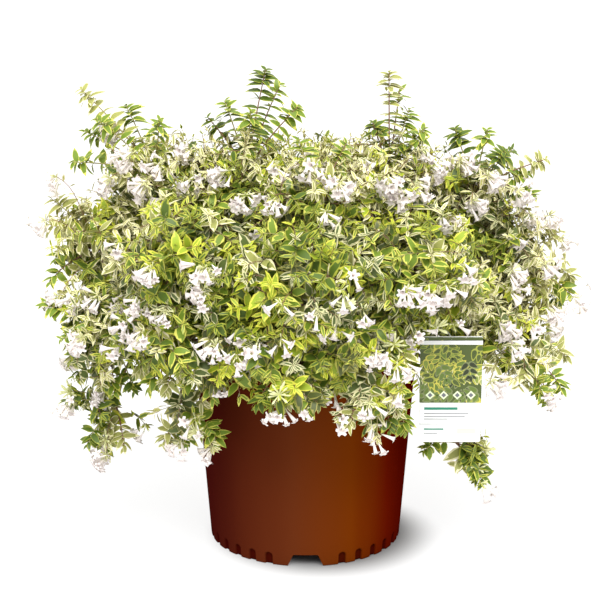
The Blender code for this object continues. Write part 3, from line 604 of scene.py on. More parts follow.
# Kinds of leaf: rows along it, half width at each as a share of the widest, and ranges of the widest half
# width, of the droop at the tip and of the green middle's share of the width
LeafKind = namedtuple("LeafKind", "rows widths half_width droop middle")
LEAF_KINDS = {
    "full": LeafKind((0.14, 0.40, 0.74), (0.72, 1.0, 0.66), (0.25, 0.32), (0.12, 0.42), (0.55, 0.86)),
    "curled": LeafKind(
        (0.13, 0.34, 0.58, 0.82), (0.62, 0.98, 0.96, 0.62), (0.27, 0.34), (0.75, 1.10), (0.66, 0.88)
    ),
    "fine": LeafKind((0.26, 0.66), (0.92, 0.84), (0.14, 0.19), (0.10, 0.45), (0.30, 0.70)),
    "inner": LeafKind((0.26, 0.68), (0.92, 0.84), (0.20, 0.26), (0.15, 0.40), (0.60, 0.85)),
}
LEAF_VARIANTS = 7  # of each kind
FOLD = (0.20, 0.60)  # rise of a margin for its distance from the midrib
TWIST = 0.30  # the most by which one margin rises and the other sinks
MIDRIB, INSIDE = 2, (1, 3)  # columns of points across a leaf


def leaf_template(rng, kind):
    """A leaf of unit length along +X, folded along its midrib and curved back, in rows of five points."""
    half_width = rng.uniform(*kind.half_width)
    fold = rng.uniform(*FOLD)
    droop = rng.uniform(*kind.droop)
    twist = rng.uniform(-TWIST, TWIST)
    points = [(0.0, 0.0, 0.0)]
    for share, width in zip(kind.rows, kind.widths):
        edge = half_width * width
        for column in range(5):
            across = edge * (column - MIDRIB) / 2
            if column in INSIDE:
                across *= 2 * rng.uniform(*kind.middle)
            rise = fold * abs(across) * (1 - 0.9 * abs(across) / half_width)
            rise += twist * share * across - droop * share**2
            points.append((share, across + 0.05 * twist * share, rise))
    points.append((1.0, 0.05 * twist, -droop))
    triangles, marks = [], []
    for index, cell in enumerate(grid_triangles(len(kind.rows), 5, False)):
        triangles.append([corner + 1 for corner in cell])
        marks.append(0 if index // 2 % 4 in (0, 3) else 1)
    last = len(points) - 1
    for column in range(4):
        triangles.append((0, column + 2, column + 1))
        marks.append(0 if column in (0, 3) else 1)
        triangles.append((last, last - 5 + column, last - 4 + column))
        marks.append(0 if column in (0, 3) or rng.random() < 0.5 else 1)
    return Template(np.array(points, float), np.array(triangles), np.array(marks))


def leaf_templates(rng):
    """All the variants, one kind after another."""
    return [leaf_template(rng, kind) for kind in LEAF_KINDS.values() for _ in range(LEAF_VARIANTS)]


def leaf_variant(rng, name):
    """The index of one variant of a kind, by chance."""
    return list(LEAF_KINDS).index(name) * LEAF_VARIANTS + rng.randrange(LEAF_VARIANTS)


# Along a flower: place, radius between the lobes and on them
FLOWER_RINGS = (
    (0.00, 0.030, 0.030),
    (0.50, 0.090, 0.095),
    (0.78, 0.175, 0.190),
    (0.90, 0.220, 0.285),
    (0.90, 0.225, 0.425),
)
LOBES = 5
OPENNESS = (1.0, 0.9, 1.08, 0.66)  # of each variant


def flower_template(rng, openness):
    """A trumpet of unit length along +X with five pointed lobes, and its calyx."""
    points, columns = [], 3 * LOBES
    last = len(FLOWER_RINGS) - 1
    for index, (along, between, on_lobe) in enumerate(FLOWER_RINGS):
        for column in range(columns):
            radius = (between, on_lobe, on_lobe)[column % 3]
            radius *= (openness if index > 1 else 1.0) * (rng.uniform(0.88, 1.12) if index > 2 else 1.0)
            curl = rng.uniform(0.0, 0.09) if index == last and column % 3 else 0.0
            reach = along + (1 - openness) * 0.18 * (index > 2) - curl
            points.append((reach, *polar(radius, math.tau * column / columns)))
    triangles = grid_triangles(len(FLOWER_RINGS), columns, True)
    marks = [0] * len(triangles)
    base = len(points)
    for sepal in range(LOBES):
        angle = math.tau * (sepal + 0.5) / LOBES
        for along, radius, spread in ((-0.04, 0.03, -0.35), (-0.04, 0.03, 0.35), (0.26, 0.15, 0.0)):
            points.append((along, *polar(radius, angle + spread)))
        first = base + 3 * sepal
        triangles.append((first, first + 1, first + 2))
        marks.append(1)
    return Template(np.array(points, float), np.array(triangles), np.array(marks))


def bud_template():
    """A pale club of unit length along +X, with a point."""
    rings = ((0.0, 0.035), (0.40, 0.055), (0.80, 0.095), (1.0, 0.01))
    sides = 5
    points = [(along, *polar(radius, angle)) for along, radius in rings for angle in angles_round(sides)]
    triangles = grid_triangles(len(rings), sides, True)
    return Template(np.array(points), np.array(triangles), np.zeros(len(triangles), int))


# ---------------------------------------------------------------- the rule of canes and masses


def direction(azimuth, elevation):
    """A unit vector. The azimuth is measured from +X towards +Y."""
    return Vector((*polar(math.cos(elevation), azimuth), math.sin(elevation)))


def share_of_height(mass):
    """0 for the lowest hanging mass and 1 for the top of the plant."""
    return portion(mass.centre[2], HEIGHT_OF_FLAT_CANE, HEIGHT_OF_STEEP_CANE - HEIGHT_OF_FLAT_CANE)


def azimuth_of(mass):
    return math.atan2(mass.centre[1], mass.centre[0])


def crown_heart():
    """The middle of the woody crown's dome."""
    return Vector((0.0, 0.0, SOIL_TOP + CLEARANCE + CROWN_RISE))


def cane_starts():
    """The direction in which each cane leaves the crown, moved apart until no two are too close."""
    starts = [
        direction(azimuth_of(m), LOWEST_CANE + (STEEPEST_CANE - LOWEST_CANE) * share_of_height(m))
        for m in MASSES
    ]
    low = math.sin(LOWEST_CANE)
    for _ in range(400):
        for i, first in enumerate(starts):
            for j in range(i + 1, len(starts)):
                apart = first.angle(starts[j])
                if apart >= CANE_SPACING:
                    continue
                push = (first - starts[j]).normalized() * (CANE_SPACING - apart) * 0.3
                first = (first + push).normalized()
                starts[j] = (starts[j] - push).normalized()
            starts[i] = first
        for i, start in enumerate(starts):
            if start.z < low:
                flat = Vector((start.x, start.y, 0.0)).normalized()
                starts[i] = flat * math.cos(LOWEST_CANE) + Vector((0.0, 0.0, low))
    return starts


class Space:
    """The room that one mass of foliage may fill: its ellipsoid, cut off halfway to each neighbour."""

    def __init__(self, mass):
        self.centre = Vector(mass.centre)
        azimuth = azimuth_of(mass)
        axes = (direction(azimuth, 0), direction(azimuth + math.pi / 2, 0), UP)
        self.axes = [axis / radius for axis, radius in zip(axes, mass.radii)]
        self.tips = [Vector(tip) for tip in mass.tips]
        self.planes = []
        size = sum(mass.radii) / 3
        for other in MASSES:
            if other.name == mass.name:
                continue
            across = Vector(other.centre) - self.centre
            apart = across.length
            shift = (size**2 - (sum(other.radii) / 3) ** 2) / (2 * apart)
            self.planes.append((across / apart, apart / 2 + shift - SPACE_GAP / 2))

    def depth(self, point):
        """0 at the ellipsoid's centre and 1 on its surface."""
        away = point - self.centre
        return math.sqrt(sum(away.dot(axis) ** 2 for axis in self.axes))

    def reach(self, way):
        """How far the space goes from its centre in a unit direction."""
        return min(self.open_reach(way), self.cell_reach(way))

    def open_reach(self, way):
        return 1 / math.sqrt(sum(way.dot(axis) ** 2 for axis in self.axes))

    def cell_reach(self, way):
        facing = [(way.dot(normal), limit) for normal, limit in self.planes]
        return min((limit / along for along, limit in facing if along > 0), default=math.inf)


def cane_route(mass, start, count):
    """Points of a cane, from the crown's dome to where it enters its mass."""
    foot = crown_heart() + start * (CROWN_RADIUS + CLEARANCE)
    elevation = ARRIVE_LOW + (ARRIVE_HIGH - ARRIVE_LOW) * share_of_height(mass)
    into = direction(azimuth_of(mass), elevation)
    tip = Vector(mass.centre) - into * ENTRY_SHARE * Space(mass).reach(-into)
    span = (tip - foot).length
    leaving, arriving = foot + start * CANE_RISE * span, tip - into * CANE_DROOP * span
    return interpolate_bezier(foot, leaving, arriving, tip, count)


# ---------------------------------------------------------------- growth


def facing(way, up):
    """A rotation that takes +X to a direction and +Z as near as may be to up."""
    side = up.cross(way)
    if side.length < 1e-4:
        side = across_frame(way)[0]
    side.normalize()
    return Matrix((way, side, way.cross(side))).transposed().to_4x4()


def across_frame(way):
    """Two unit vectors square to a direction, the first of them level."""
    up = UP if abs(way.z) < 0.95 else Vector((0.0, 1.0, 0.0))
    level = up.cross(way).normalized()
    return level, way.cross(level).normalized()


def nodes_along(route, first, pitch, rng):
    """Places along a route from a share of its length on, closer near its tip: point, way and share."""
    lengths = [(b - a).length for a, b in zip(route, route[1:])]
    whole = sum(lengths)
    at, start, step = first * whole, 0.0, 0
    found = []
    while step < len(lengths) and at < whole - 0.4 * pitch:
        if at > start + lengths[step]:
            start += lengths[step]
            step += 1
            continue
        way = (route[step + 1] - route[step]).normalized()
        share = at / whole
        found.append((route[step] + way * (at - start), way, share))
        at += pitch * (1.0 - 0.35 * share) * rng.uniform(0.85, 1.15)
    return found


def blocked(point, margin):
    """True in the pot or at the label, with a margin, and in front of the label's face."""
    if math.hypot(point.x, point.y) < RIM_RADIUS + margin and point.z < POT_HEIGHT + margin:
        return True
    off = point - CARD_CENTRE
    in_front = max(0.0, -off.y)
    return (
        abs(off.x) < CARD_WIDTH / 2 + margin
        and -CARD_CLEAR < off.y < CARD_THICKNESS / 2 + margin
        and abs(off.z - in_front * math.tan(CAMERA_DOWN)) < CARD_HEIGHT / 2 + margin
    )


class Plant:
    """All that has been grown: leaves by tint, flowers, buds and twigs."""

    def __init__(self):
        self.leaves = {tint: [] for tint in TINTS}
        self.flowers, self.buds = [], []
        self.twigs = Tubes()


def ways_round(count, spin, depth):
    """Directions spread evenly over a sphere, from its top down by a depth in radii."""
    for i in range(count):
        height = 1 - depth * (i + 0.5) / count
        yield Vector((*polar(math.sqrt(1 - height**2), spin + i * GOLDEN_ANGLE), height))


def highness(point):
    """0 under the crown's top and 1 at it."""
    return portion(point.z, *TOP_FROM)


def painted_shade_weight(point):
    """1 in the middle of a dark green patch of painted shade on the front and 0 away from them all."""
    if point.y > 0:
        return 0.0
    return max(
        math.exp(-(((point.x - across) / wide) ** 2) - ((point.z - up) / high) ** 2)
        for across, up, wide, high in PAINTED_SHADE_PATCHES
    )


class Growth:
    """Grows one mass: a stem, boughs outwards, side shoots, pairs of leaves, and blossom."""

    def __init__(self, mass, index, route, plant):
        self.mass = mass
        self.space = Space(mass)
        self.plant = plant
        self.random = random.Random(SEED * 1000 + index)
        self.between = self.random.uniform
        self.outward = (self.space.centre - PLANT_HEART).normalized()
        self.route = route
        self.into = (route[-1] - route[-2]).normalized()
        self.hangs = mass.name.startswith("hang")
        self.side = 1 if self.space.centre.y >= BACK_FROM else -1  # of the plant: back or front
        for normal, limit in OPEN_SIDES.get(mass.name, ()):
            self.space.planes.append((Vector(normal), limit))

    def jitter(self, size):
        return Vector([self.random.gauss(0, size) for _ in range(3)])

    def tint_for(self, point, depth):
        """A leaf colour for a spray, by odds that change with its place and paint light and shade."""
        high, side, deep = highness(point), portion(abs(point.x), *SIDES_FROM), painted_shade_weight(point)
        # painted light: paler leaves are likelier on the right side
        right = side * (point.x > 0)
        # painted light at the top: through high, paler leaves and fewer dark and shade leaves there
        shaded = (0.25 if depth > SHADE_DEPTH else 1.4) * (1 - 0.7 * side) * (1 - 0.85 * high)
        # painted shade: through deep, the deep and shade tints are far likelier in the dark patches
        odds = {
            "lime": 1.1 - 0.4 * high,
            "fresh": 1.4 - 0.5 * high,
            "cream": 0.7 + 1.4 * high + 1.3 * side + 0.6 * right - 0.7 * deep,
            "young": 0.1 + 2.0 * high * (1 - deep) + 0.4 * side + 1.2 * right,
            "dark": 1.5 - 1.3 * high - 0.3 * side,
            "deep": 0.4 + 5.0 * deep,
            "shade": shaded + 1.2 * deep,
        }
        names = list(odds)
        return self.random.choices(names, [max(0.0, odds[name]) for name in names])[0]

    def size_for(self, point):
        """Leaf length for a spray: fine at the top of the crown, larger low down."""
        high = highness(point)
        middle = max(0.0, 1 - math.hypot(point.x, 0.6 * point.y) / MIDDLE_REACH)
        low = portion(-point.z, *LOW_FROM) + self.hangs
        return LEAF_LENGTH * (1.0 - 0.26 * high * (0.5 + 0.5 * middle) + 0.06 * low)

    def leaf(self, root, way, up, length, tint, kind=None):
        """One leaf, left out where it would touch the pot or the label."""
        middle, tip = root + way * 0.5 * length, root + way * length
        if blocked(middle, 0.25 * length) or blocked(tip, 0.001):
            return
        if kind is None:
            fine = length < FINE_BELOW or tint == "young"
            kind = "inner" if tint == "shade" else "fine" if fine else "full"
        scaled = Matrix.Diagonal((length, length * self.between(0.82, 1.12), length, 1.0))
        placed = Matrix.Translation(root) @ facing(way, up) @ scaled
        self.plant.leaves[tint].append((leaf_variant(self.random, kind), placed))

    def leaf_pairs(self, route, first, tint, longest, pitch=PAIR_PITCH):
        """Opposite pairs of leaves along a route, each pair square to the last, and a tuft at its tip."""
        turn = self.between(0, math.pi)
        for root, way, share in nodes_along(route, first, pitch, self.random):
            self.pair(root, way, turn, longest * (1.0 - LEAF_TAPER * share**1.5), tint)
            turn += math.pi / 2 + self.between(-0.25, 0.25)
        self.tuft(route, turn, longest * (1 - 0.6 * LEAF_TAPER), tint)

    def tuft(self, route, turn, longest, tint):
        """The crowded young leaves at a tip."""
        way = (route[-1] - route[-2]).normalized()
        for level, (along, size) in enumerate(TUFT):
            root = route[-1] - way * 0.0025 * (1 - level)
            for sign in (-1, 1):
                out = self.side_way(way, turn + level * math.pi / 2, sign, along)
                self.leaf(root, out, self.leaf_up(way), longest * size * self.between(0.85, 1.1), tint)
        end = (way + self.jitter(0.2)).normalized()
        self.leaf(route[-1], end, self.leaf_up(way), longest * self.between(0.45, 0.6), tint)

    def side_way(self, way, turn, sign, along):
        level, raised = across_frame(way)
        side = level * math.cos(turn) + raised * math.sin(turn)
        return (way * along + side * sign + self.jitter(0.13)).normalized()

    def side_ways(self, way, turn, along):
        """A way out on each side of a twig, one after the other."""
        for sign in (-1, 1):
            yield self.side_way(way, turn, sign, along)

    def leaf_up(self, way):
        """The way a leaf's upper face turns: up, out of the crown and a little along its twig."""
        return (UP * 0.75 + self.outward * 0.65 + way * 0.35 + self.jitter(0.28)).normalized()

    def pair(self, root, way, turn, size, tint):
        for sign in (-1, 1):
            out = self.side_way(way, turn, sign, self.between(0.35, 0.85)) - UP * 0.10
            self.leaf(root, out.normalized(), self.leaf_up(way), size * self.between(0.86, 1.10), tint)

    def held(self, point):
        """A point kept to the mass's reach. Some shoots at the top stand out of it a little."""
        away = point - self.space.centre
        way = away.normalized()
        most = self.space.reach(way) + LEAF_OVER - 0.55 * LEAF_LENGTH
        if self.space.open_reach(way) <= self.space.cell_reach(way):
            past = RAGGED_TOP if way.z > 0.3 and not self.hangs else RAGGED_OUT
            most += self.random.triangular(-RAGGED_IN, past, 0.0)
        return point if away.length <= most else self.space.centre + way * most

    def arch(self, start, way, end, droop):
        """A route that leaves start in a direction and comes to end while it bends down."""
        span = (end - start).length
        arrive = ((end - start).normalized() - UP * droop).normalized()
        steps = max(3, round(span / 0.010) + 1)
        return interpolate_bezier(start, start + way * 0.38 * span, end - arrive * 0.34 * span, end, steps)

    def twig(self, route, thick, thin, sides=3):
        radii = np.linspace(thick, thin, len(route))
        self.plant.twigs.add(route, radii, sides, self.random.randrange(2))

    def stem(self):
        """From the cane's tip to the heart of the mass."""
        start, heart = self.route[-1] + self.into * CLEARANCE, self.space.centre
        span = (heart - start).length
        route = interpolate_bezier(
            start, start + self.into * 0.3 * span, heart - self.into * 0.2 * span, heart, 6
        )
        self.twig(route, CANE_TIP, BOUGH_RADIUS, 6)

    def ways(self):
        """Directions spread evenly round the mass, without those that point into the plant."""
        count = round(OPEN_MASSES.get(self.mass.name, 1.0) * TWIG_FACTOR * self.mass.twigs)
        found = ways_round(count, self.between(0, math.tau), 2)
        return [way for way in found if way.dot(self.outward) > INWARD_MOST]

    def bough(self, way):
        """A twig from the heart of the mass to its surface, with its side shoots and leaves."""
        reach = self.space.reach(way) * self.between(0.76, 1.06)
        end = self.held(self.space.centre + way * reach)
        if blocked(end, 0.004):
            return
        first = (way + UP * 0.5 + self.jitter(0.15)).normalized()
        route = self.arch(self.space.centre, first, end, 0.5 + 0.4 * self.hangs)
        self.twig(route, BOUGH_RADIUS, SIDE_RADIUS, 4)
        tint = self.tint_for(end, self.space.depth(end))
        self.leaf_pairs(route, 0.30, tint, BOUGH_LEAVES * self.size_for(end))
        turn = self.between(0, math.pi)
        for share in HANGING_FORKS if self.hangs else FORKS:
            at = route[min(len(route) - 2, round(share * (len(route) - 1)))]
            for out in self.side_ways(way, turn, 0.55):
                length = SIDE_LENGTH * (1.15 - 0.55 * share) * self.between(0.75, 1.2)
                self.side_shoot(at, out, length)
            turn += math.pi / 2

    def side_shoot(self, start, way, length, kept_in=True):
        end = start + (way * 0.9 - UP * 0.12).normalized() * length
        if kept_in:
            end = self.held(end)
        if (end - start).length < LEAST_SHOOT or blocked(end, 0.003):
            return
        route = self.arch(start, way, end, 0.4)
        self.twig(route, SIDE_RADIUS, TWIG_TIP)
        depth = self.space.depth(end)
        size = self.size_for(end) * self.between(0.85, 1.12)
        pitch = PAIR_PITCH * size / LEAF_LENGTH
        self.leaf_pairs(route, 0.16, self.tint_for(end, depth), size, pitch)
        odds = BACK_BLOSSOM_ODDS if self.side > 0 else FRONT_BLOSSOM_ODDS
        if depth > SURFACE_DEPTH and self.random.random() < odds:
            self.blossom(end, self.random.randint(3, 7))

    def inner_shoots(self):
        """Leafy side shoots along the outer part of the cane, in the crown's shade."""
        if self.hangs:
            return
        route, along, passed = self.route, 0.0, 0.0
        whole = sum((b - a).length for a, b in zip(route, route[1:]))
        for low, high in zip(route, route[1:]):
            along += (high - low).length
            if along < INNER_FROM * whole or along - passed < INNER_PITCH:
                continue
            passed = along
            way = (high - low).normalized()
            turn = self.between(0, math.pi)
            for out in self.side_ways(way, turn, 0.5):
                end = low + (out - UP * 0.1).normalized() * INNER_LENGTH * self.between(0.7, 1.2)
                if blocked(end, 0.01):
                    continue
                shoot = self.arch(low, out, end, 0.3)
                self.twig(shoot, SIDE_RADIUS, TWIG_TIP)
                self.leaf_pairs(shoot, 0.2, "shade", INNER_LEAF_LENGTH, INNER_PAIR_PITCH)

    def bridges(self):
        """Boughs towards the near masses, which close the gaps between them."""
        if self.hangs:
            return
        for other in MASSES:
            across = Vector(other.centre) - self.space.centre
            if other is self.mass or other.name.startswith("hang") or across.length > BRIDGE_SPAN:
                continue
            for lean in (-1, 1) if across.length < NEAR_SPAN else (0,):
                self.bridge(across, lean)

    def bridge(self, across, lean):
        """A bough towards a near mass, which leans to one side of the straight way."""
        way = across.normalized()
        level, raised = across_frame(way)
        way = (way + level * 0.35 * lean + raised * self.between(-0.35, 0.35)).normalized()
        end = self.space.centre + way * min(0.62 * across.length, self.space.cell_reach(way))
        if blocked(end, 0.01):
            return
        route = self.arch(self.space.centre, (way + UP * 0.3).normalized(), end, 0.2)
        self.twig(route, BOUGH_RADIUS, SIDE_RADIUS)
        self.leaf_pairs(route, 0.35, self.tint_for(end, 0.9), BOUGH_LEAVES * self.size_for(end))
        turn = self.between(0, math.pi)
        for share in BRIDGE_FORKS:
            at = route[round(share * (len(route) - 1))]
            for out in self.side_ways(way, turn, 0.5):
                self.side_shoot(at, out, SIDE_LENGTH * self.between(0.6, 0.9), False)
            turn += math.pi / 2

    def long_shoot(self, tip, fine=False):
        """A shoot that stands out of the mass as far as a tip, with arched pairs of leaves in two ranks."""
        away = (tip - self.space.centre).normalized()
        first = (away + UP * 0.35).normalized()
        end = tip - away * 0.25 * LEAF_LENGTH
        if blocked(end, 0.003):
            return
        route = self.arch(self.space.centre, first, end, 0.15 if away.z > 0 else 0.7)
        self.twig(route, 1.1 * BOUGH_RADIUS, SIDE_RADIUS, 4)
        tint = self.random.choice(("fresh", "deep", "cream", "fresh"))
        longest = SHOOT_LEAF_LENGTH * (0.88 if fine else 1.0)
        rank = self.between(-0.5, 0.5)
        places = nodes_along(route, 0.30, SHOOT_PITCH, self.random)
        for step, (root, way, share) in enumerate(places):
            self.ranked_pair(root, way, rank, longest * (1.0 - 0.15 * share), tint)
            if step % 3 == 1:
                self.axil(root, way, rank, 0.7 * longest, tint)
            rank += self.between(-0.45, 0.45)
        way = (route[-1] - route[-2]).normalized()
        for level, size in enumerate(TOP_LEAVES):
            root = route[-1] - way * TOP_PITCH * (len(TOP_LEAVES) - 1 - level)
            self.ranked_pair(root, way, rank + level * TOP_TURN, size * longest, tint, 0.1 + 0.2 * level)

    def ranked_pair(self, root, way, rank, size, tint, along=0.30):
        """A pair of arched leaves, one each side of an upright shoot."""
        across = Matrix.Rotation(rank, 3, way) @ way.cross(DEPTH).normalized()
        for sign in (-1, 1):
            out = (across * sign + way * along + UP * 0.35 + self.jitter(0.10)).normalized()
            face = (way * 0.3 + UP + DEPTH * 0.5 * self.side + self.jitter(0.2)).normalized()
            self.leaf(root, out, face, size * self.between(0.86, 1.08), tint, "curled")

    def axil(self, root, way, rank, size, tint):
        """A tuft of small leaves where a pair stands."""
        for sign in (-1, 1):
            across = Matrix.Rotation(rank + 0.8, 3, way) @ way.cross(DEPTH).normalized()
            out = (across * sign + way + self.jitter(0.35)).normalized()
            self.leaf(root, out, self.leaf_up(way), size * self.between(0.7, 1.1), tint, "fine")

    def flowering_shoot(self, place, count, buds):
        """A short shoot out of the mass, with blossom or a head of buds at its end."""
        away = place - self.space.centre
        start = self.space.centre + away * 0.35
        route = self.arch(start, (away.normalized() + UP * 0.5).normalized(), place, 0.6)
        self.twig(route, SIDE_RADIUS * 1.2, 0.0005)
        self.leaf_pairs(route, 0.25, self.tint_for(place, 0.9), 0.85 * self.size_for(place))
        if count:
            self.blossom(place, count)
        if buds:
            self.bud_head(place, buds)

    def blossom(self, tip, count):
        """A cluster of nodding trumpets with a few buds over them."""
        out = Vector((self.outward.x, self.outward.y, 0.0)).normalized()
        side = UP.cross(out)
        spin = self.between(0, math.tau)
        for i in range(count):
            angle = spin + i * GOLDEN_ANGLE
            spread = 0.75 * math.sqrt((i + 0.5) / count)
            way = out * 0.60 - UP * 0.65 + side * spread * math.cos(angle) * 1.5
            way += UP * spread * math.sin(angle) * 0.9 + self.jitter(0.18)
            way.normalize()
            root = tip + way * 0.004 + self.jitter(0.0035)
            length = FLOWER_LENGTH * self.between(0.85, 1.12)
            if blocked(root + way * length, 0.004):
                continue
            turn = Matrix.Rotation(self.between(0, math.tau), 4, "X")
            placed = Matrix.Translation(root) @ facing(way, UP) @ turn @ Matrix.Scale(length, 4)
            self.plant.flowers.append((self.random.randrange(len(OPENNESS)), placed))
        for _ in range(3 + count // 2):
            self.bud(tip, (out * 0.5 + self.jitter(0.6)).normalized(), 0.7 * BUD_LENGTH)

    def bud_head(self, tip, count):
        for way in ways_round(count, 0.0, 1.5):
            if way.dot(self.outward) > -0.5:
                self.bud(tip, (way + self.jitter(0.12)).normalized(), BUD_LENGTH)

    def bud(self, root, way, length):
        length *= self.between(0.8, 1.15)
        if not blocked(root + way * length, 0.002):
            placed = Matrix.Translation(root) @ facing(way, UP) @ Matrix.Scale(length, 4)
            self.plant.buds.append((0, placed))

    def grow(self, blossom_places, bud_places):
        self.stem()
        for way in self.ways():
            self.bough(way)
        self.inner_shoots()
        self.bridges()
        for tip in self.space.tips:
            self.long_shoot(tip)
        for tip in FINE_SHOOTS.get(self.mass.name, ()):
            self.long_shoot(Vector(tip), True)
        for place, count in blossom_places:
            self.flowering_shoot(place, count, 0)
        for place, count in bud_places:
            self.flowering_shoot(place, 0, count)


def seen_place(across, down, spaces):
    """The mass that is in front at a pixel of the camera's frame, and the point where it begins."""
    focal = LENS / SENSOR * FRAME
    sight = Vector(((across - FRAME / 2) / focal, 1.0, (FRAME / 2 - down) / focal))
    sight.rotate(Matrix.Rotation(-CAMERA_DOWN, 3, "X"))
    nearest = (math.inf, 0, None)
    for away in np.arange(*SIGHT):
        point = Vector(CAMERA_PLACE) + sight * float(away)
        depth, index = min((space.depth(point), i) for i, space in enumerate(spaces))
        if depth < nearest[0]:
            nearest = (depth, index, point)
        if depth < 1.0:
            break
    return nearest[1:]


def grow_plant(routes):
    plant = Plant()
    spaces = [Space(mass) for mass in MASSES]
    blossom, heads = [[] for _ in MASSES], [[] for _ in MASSES]
    for table, found, least in ((BLOSSOM, blossom, 1.0), (BUD_HEADS, heads, 1.5)):
        for across, down, count in table:
            index, place = seen_place(across, down, spaces)
            share = least + SIDE_BLOSSOM * portion(abs(place.x), *SIDE_BLOSSOM_FROM)
            share += TOP_BLOSSOM * portion(place.z, *TOP_BLOSSOM_FROM)
            found[index].append((place, round(share * count)))
    for index, mass in enumerate(MASSES):
        Growth(mass, index, routes[mass.name], plant).grow(blossom[index], heads[index])
    return plant


def build_foliage(plant):
    """The leaves, twigs and blossom as joined pieces. The first piece of leaves stands for the masses."""
    rng = random.Random(SEED)
    templates = leaf_templates(rng)
    names = [mass.name for mass in MASSES]
    for tint, (margin, middle) in TINTS.items():
        finishes = [
            finish(f"leaf_{tint}_margin", margin, 0.5, Specular_IOR_Level=0.3),
            finish(f"leaf_{tint}_middle", middle, 0.45, Specular_IOR_Level=0.35),
        ]
        placed = plant.leaves[tint]
        for start in range(0, len(placed), MOST_LEAVES_IN_A_PIECE):
            name = f"leaves_{tint}_{start // MOST_LEAVES_IN_A_PIECE + 1}"
            part = placed[start : start + MOST_LEAVES_IN_A_PIECE]
            add_piece(name, copies(name, templates, part), finishes, "foliage", *names)
    petals = finish("petal_finish", "F5EDE9", 0.6, Specular_IOR_Level=0.2)
    calyx = finish("calyx_finish", "B9BE72", 0.6)
    flowers = [flower_template(rng, openness) for openness in OPENNESS]
    for index in range(2):
        name = f"blossom_{index + 1}"
        add_piece(name, copies(name, flowers, plant.flowers[index::2]), [petals, calyx], "foliage", *names)
    buds = finish("bud_finish", "E2E4AC", 0.55)
    add_piece("buds", copies("buds", [bud_template()], plant.buds), [buds], "foliage", *names)
    twig_finishes = [finish("twig_brown", "8E6A52", 0.7), finish("twig_tan", "AAA068", 0.7)]
    add_piece("twigs", plant.twigs.mesh("twigs"), twig_finishes, "bark", *names)


# ---------------------------------------------------------------- canes and crown


def build_canes(routes, bark):
    """The canes, with swollen nodes and ridged bark, as one mesh."""
    tubes = Tubes()
    rng = random.Random(SEED)
    for route in routes.values():
        seed = rng.uniform(0, 100)
        radii = []
        for i in range(len(route)):
            base = CANE_FOOT + (CANE_TIP - CANE_FOOT) * (i / (len(route) - 1))
            node = 0.16 * math.exp(-(((i % 7) - 3) ** 2) / 0.6)
            ring = []
            for side in range(CANE_SIDES):
                ridge = noise.noise((side * 1.7 + seed, i * 0.25, seed))
                ring.append(base * (0.97 + node + 0.11 * ridge))
            radii.append(ring)
        tubes.add(route, radii, CANE_SIDES)
    names = ["cane_" + mass.name for mass in MASSES]
    add_piece("canes", tubes.mesh("canes"), [bark], "bark", *names)


def build_crown(bark):
    """The woody crown: a lumpy stump with a flared foot, a neck and a domed top."""
    ground = SOIL_TOP - 0.002
    heart = crown_heart()
    columns, rows = 72, 30
    neck_share = 0.45  # of the rows that climb from the ground to the dome
    points = []
    for row in range(rows):
        share = row / (rows - 1)
        if share < neck_share:
            climb = share / neck_share
            height = ground + (heart.z - ground) * climb
            radius = CROWN_NECK + (CROWN_FLARE - CROWN_NECK) * (1 - climb) ** 2.5
            radius += (CROWN_RADIUS - CROWN_NECK) * climb**2
        else:
            radius, up = polar(CROWN_RADIUS, (share - neck_share) / (1 - neck_share) * math.pi / 2)
            height = heart.z + up
        for angle in angles_round(columns):
            place = Vector((*polar(radius, angle), height))
            lump = noise.noise(place * 90) * 0.0016
            strip = noise.noise(Vector((angle * 9, height * 25, 2.0))) * 0.0011
            away = Vector((place.x, place.y, (place.z - heart.z) if share > neck_share else 0.0))
            if away.length > 1e-6:
                place += away.normalized() * (lump + strip)
            points.append(place)
    triangles = grid_triangles(rows, columns, True)
    data = mesh_from_arrays("crown_wood", points, triangles, np.zeros(len(triangles), int))
    add_piece("crown_wood", data, [bark], "bark", "crown_stem")


# ---------------------------------------------------------------- pot and soil


def wall_radius(height):
    """The pot wall's outer radius at a height under the rim."""
    share = height / (POT_HEIGHT - RIM_HEIGHT)
    return FOOT_RADIUS + (RIM_RADIUS - RIM_STEP - FOOT_RADIUS) * share


def arc(centre, radius, start, end, steps):
    """Points on an arc in the section's plane, angles in degrees."""
    turns = [polar(radius, math.radians(start + (end - start) * step / steps)) for step in range(steps + 1)]
    return [(centre[0] + across, centre[1] + up) for across, up in turns]


def line(start, end, steps):
    """Points from start towards end, without the end."""
    return [tuple(a + (b - a) * step / steps for a, b in zip(start, end)) for step in range(steps)]


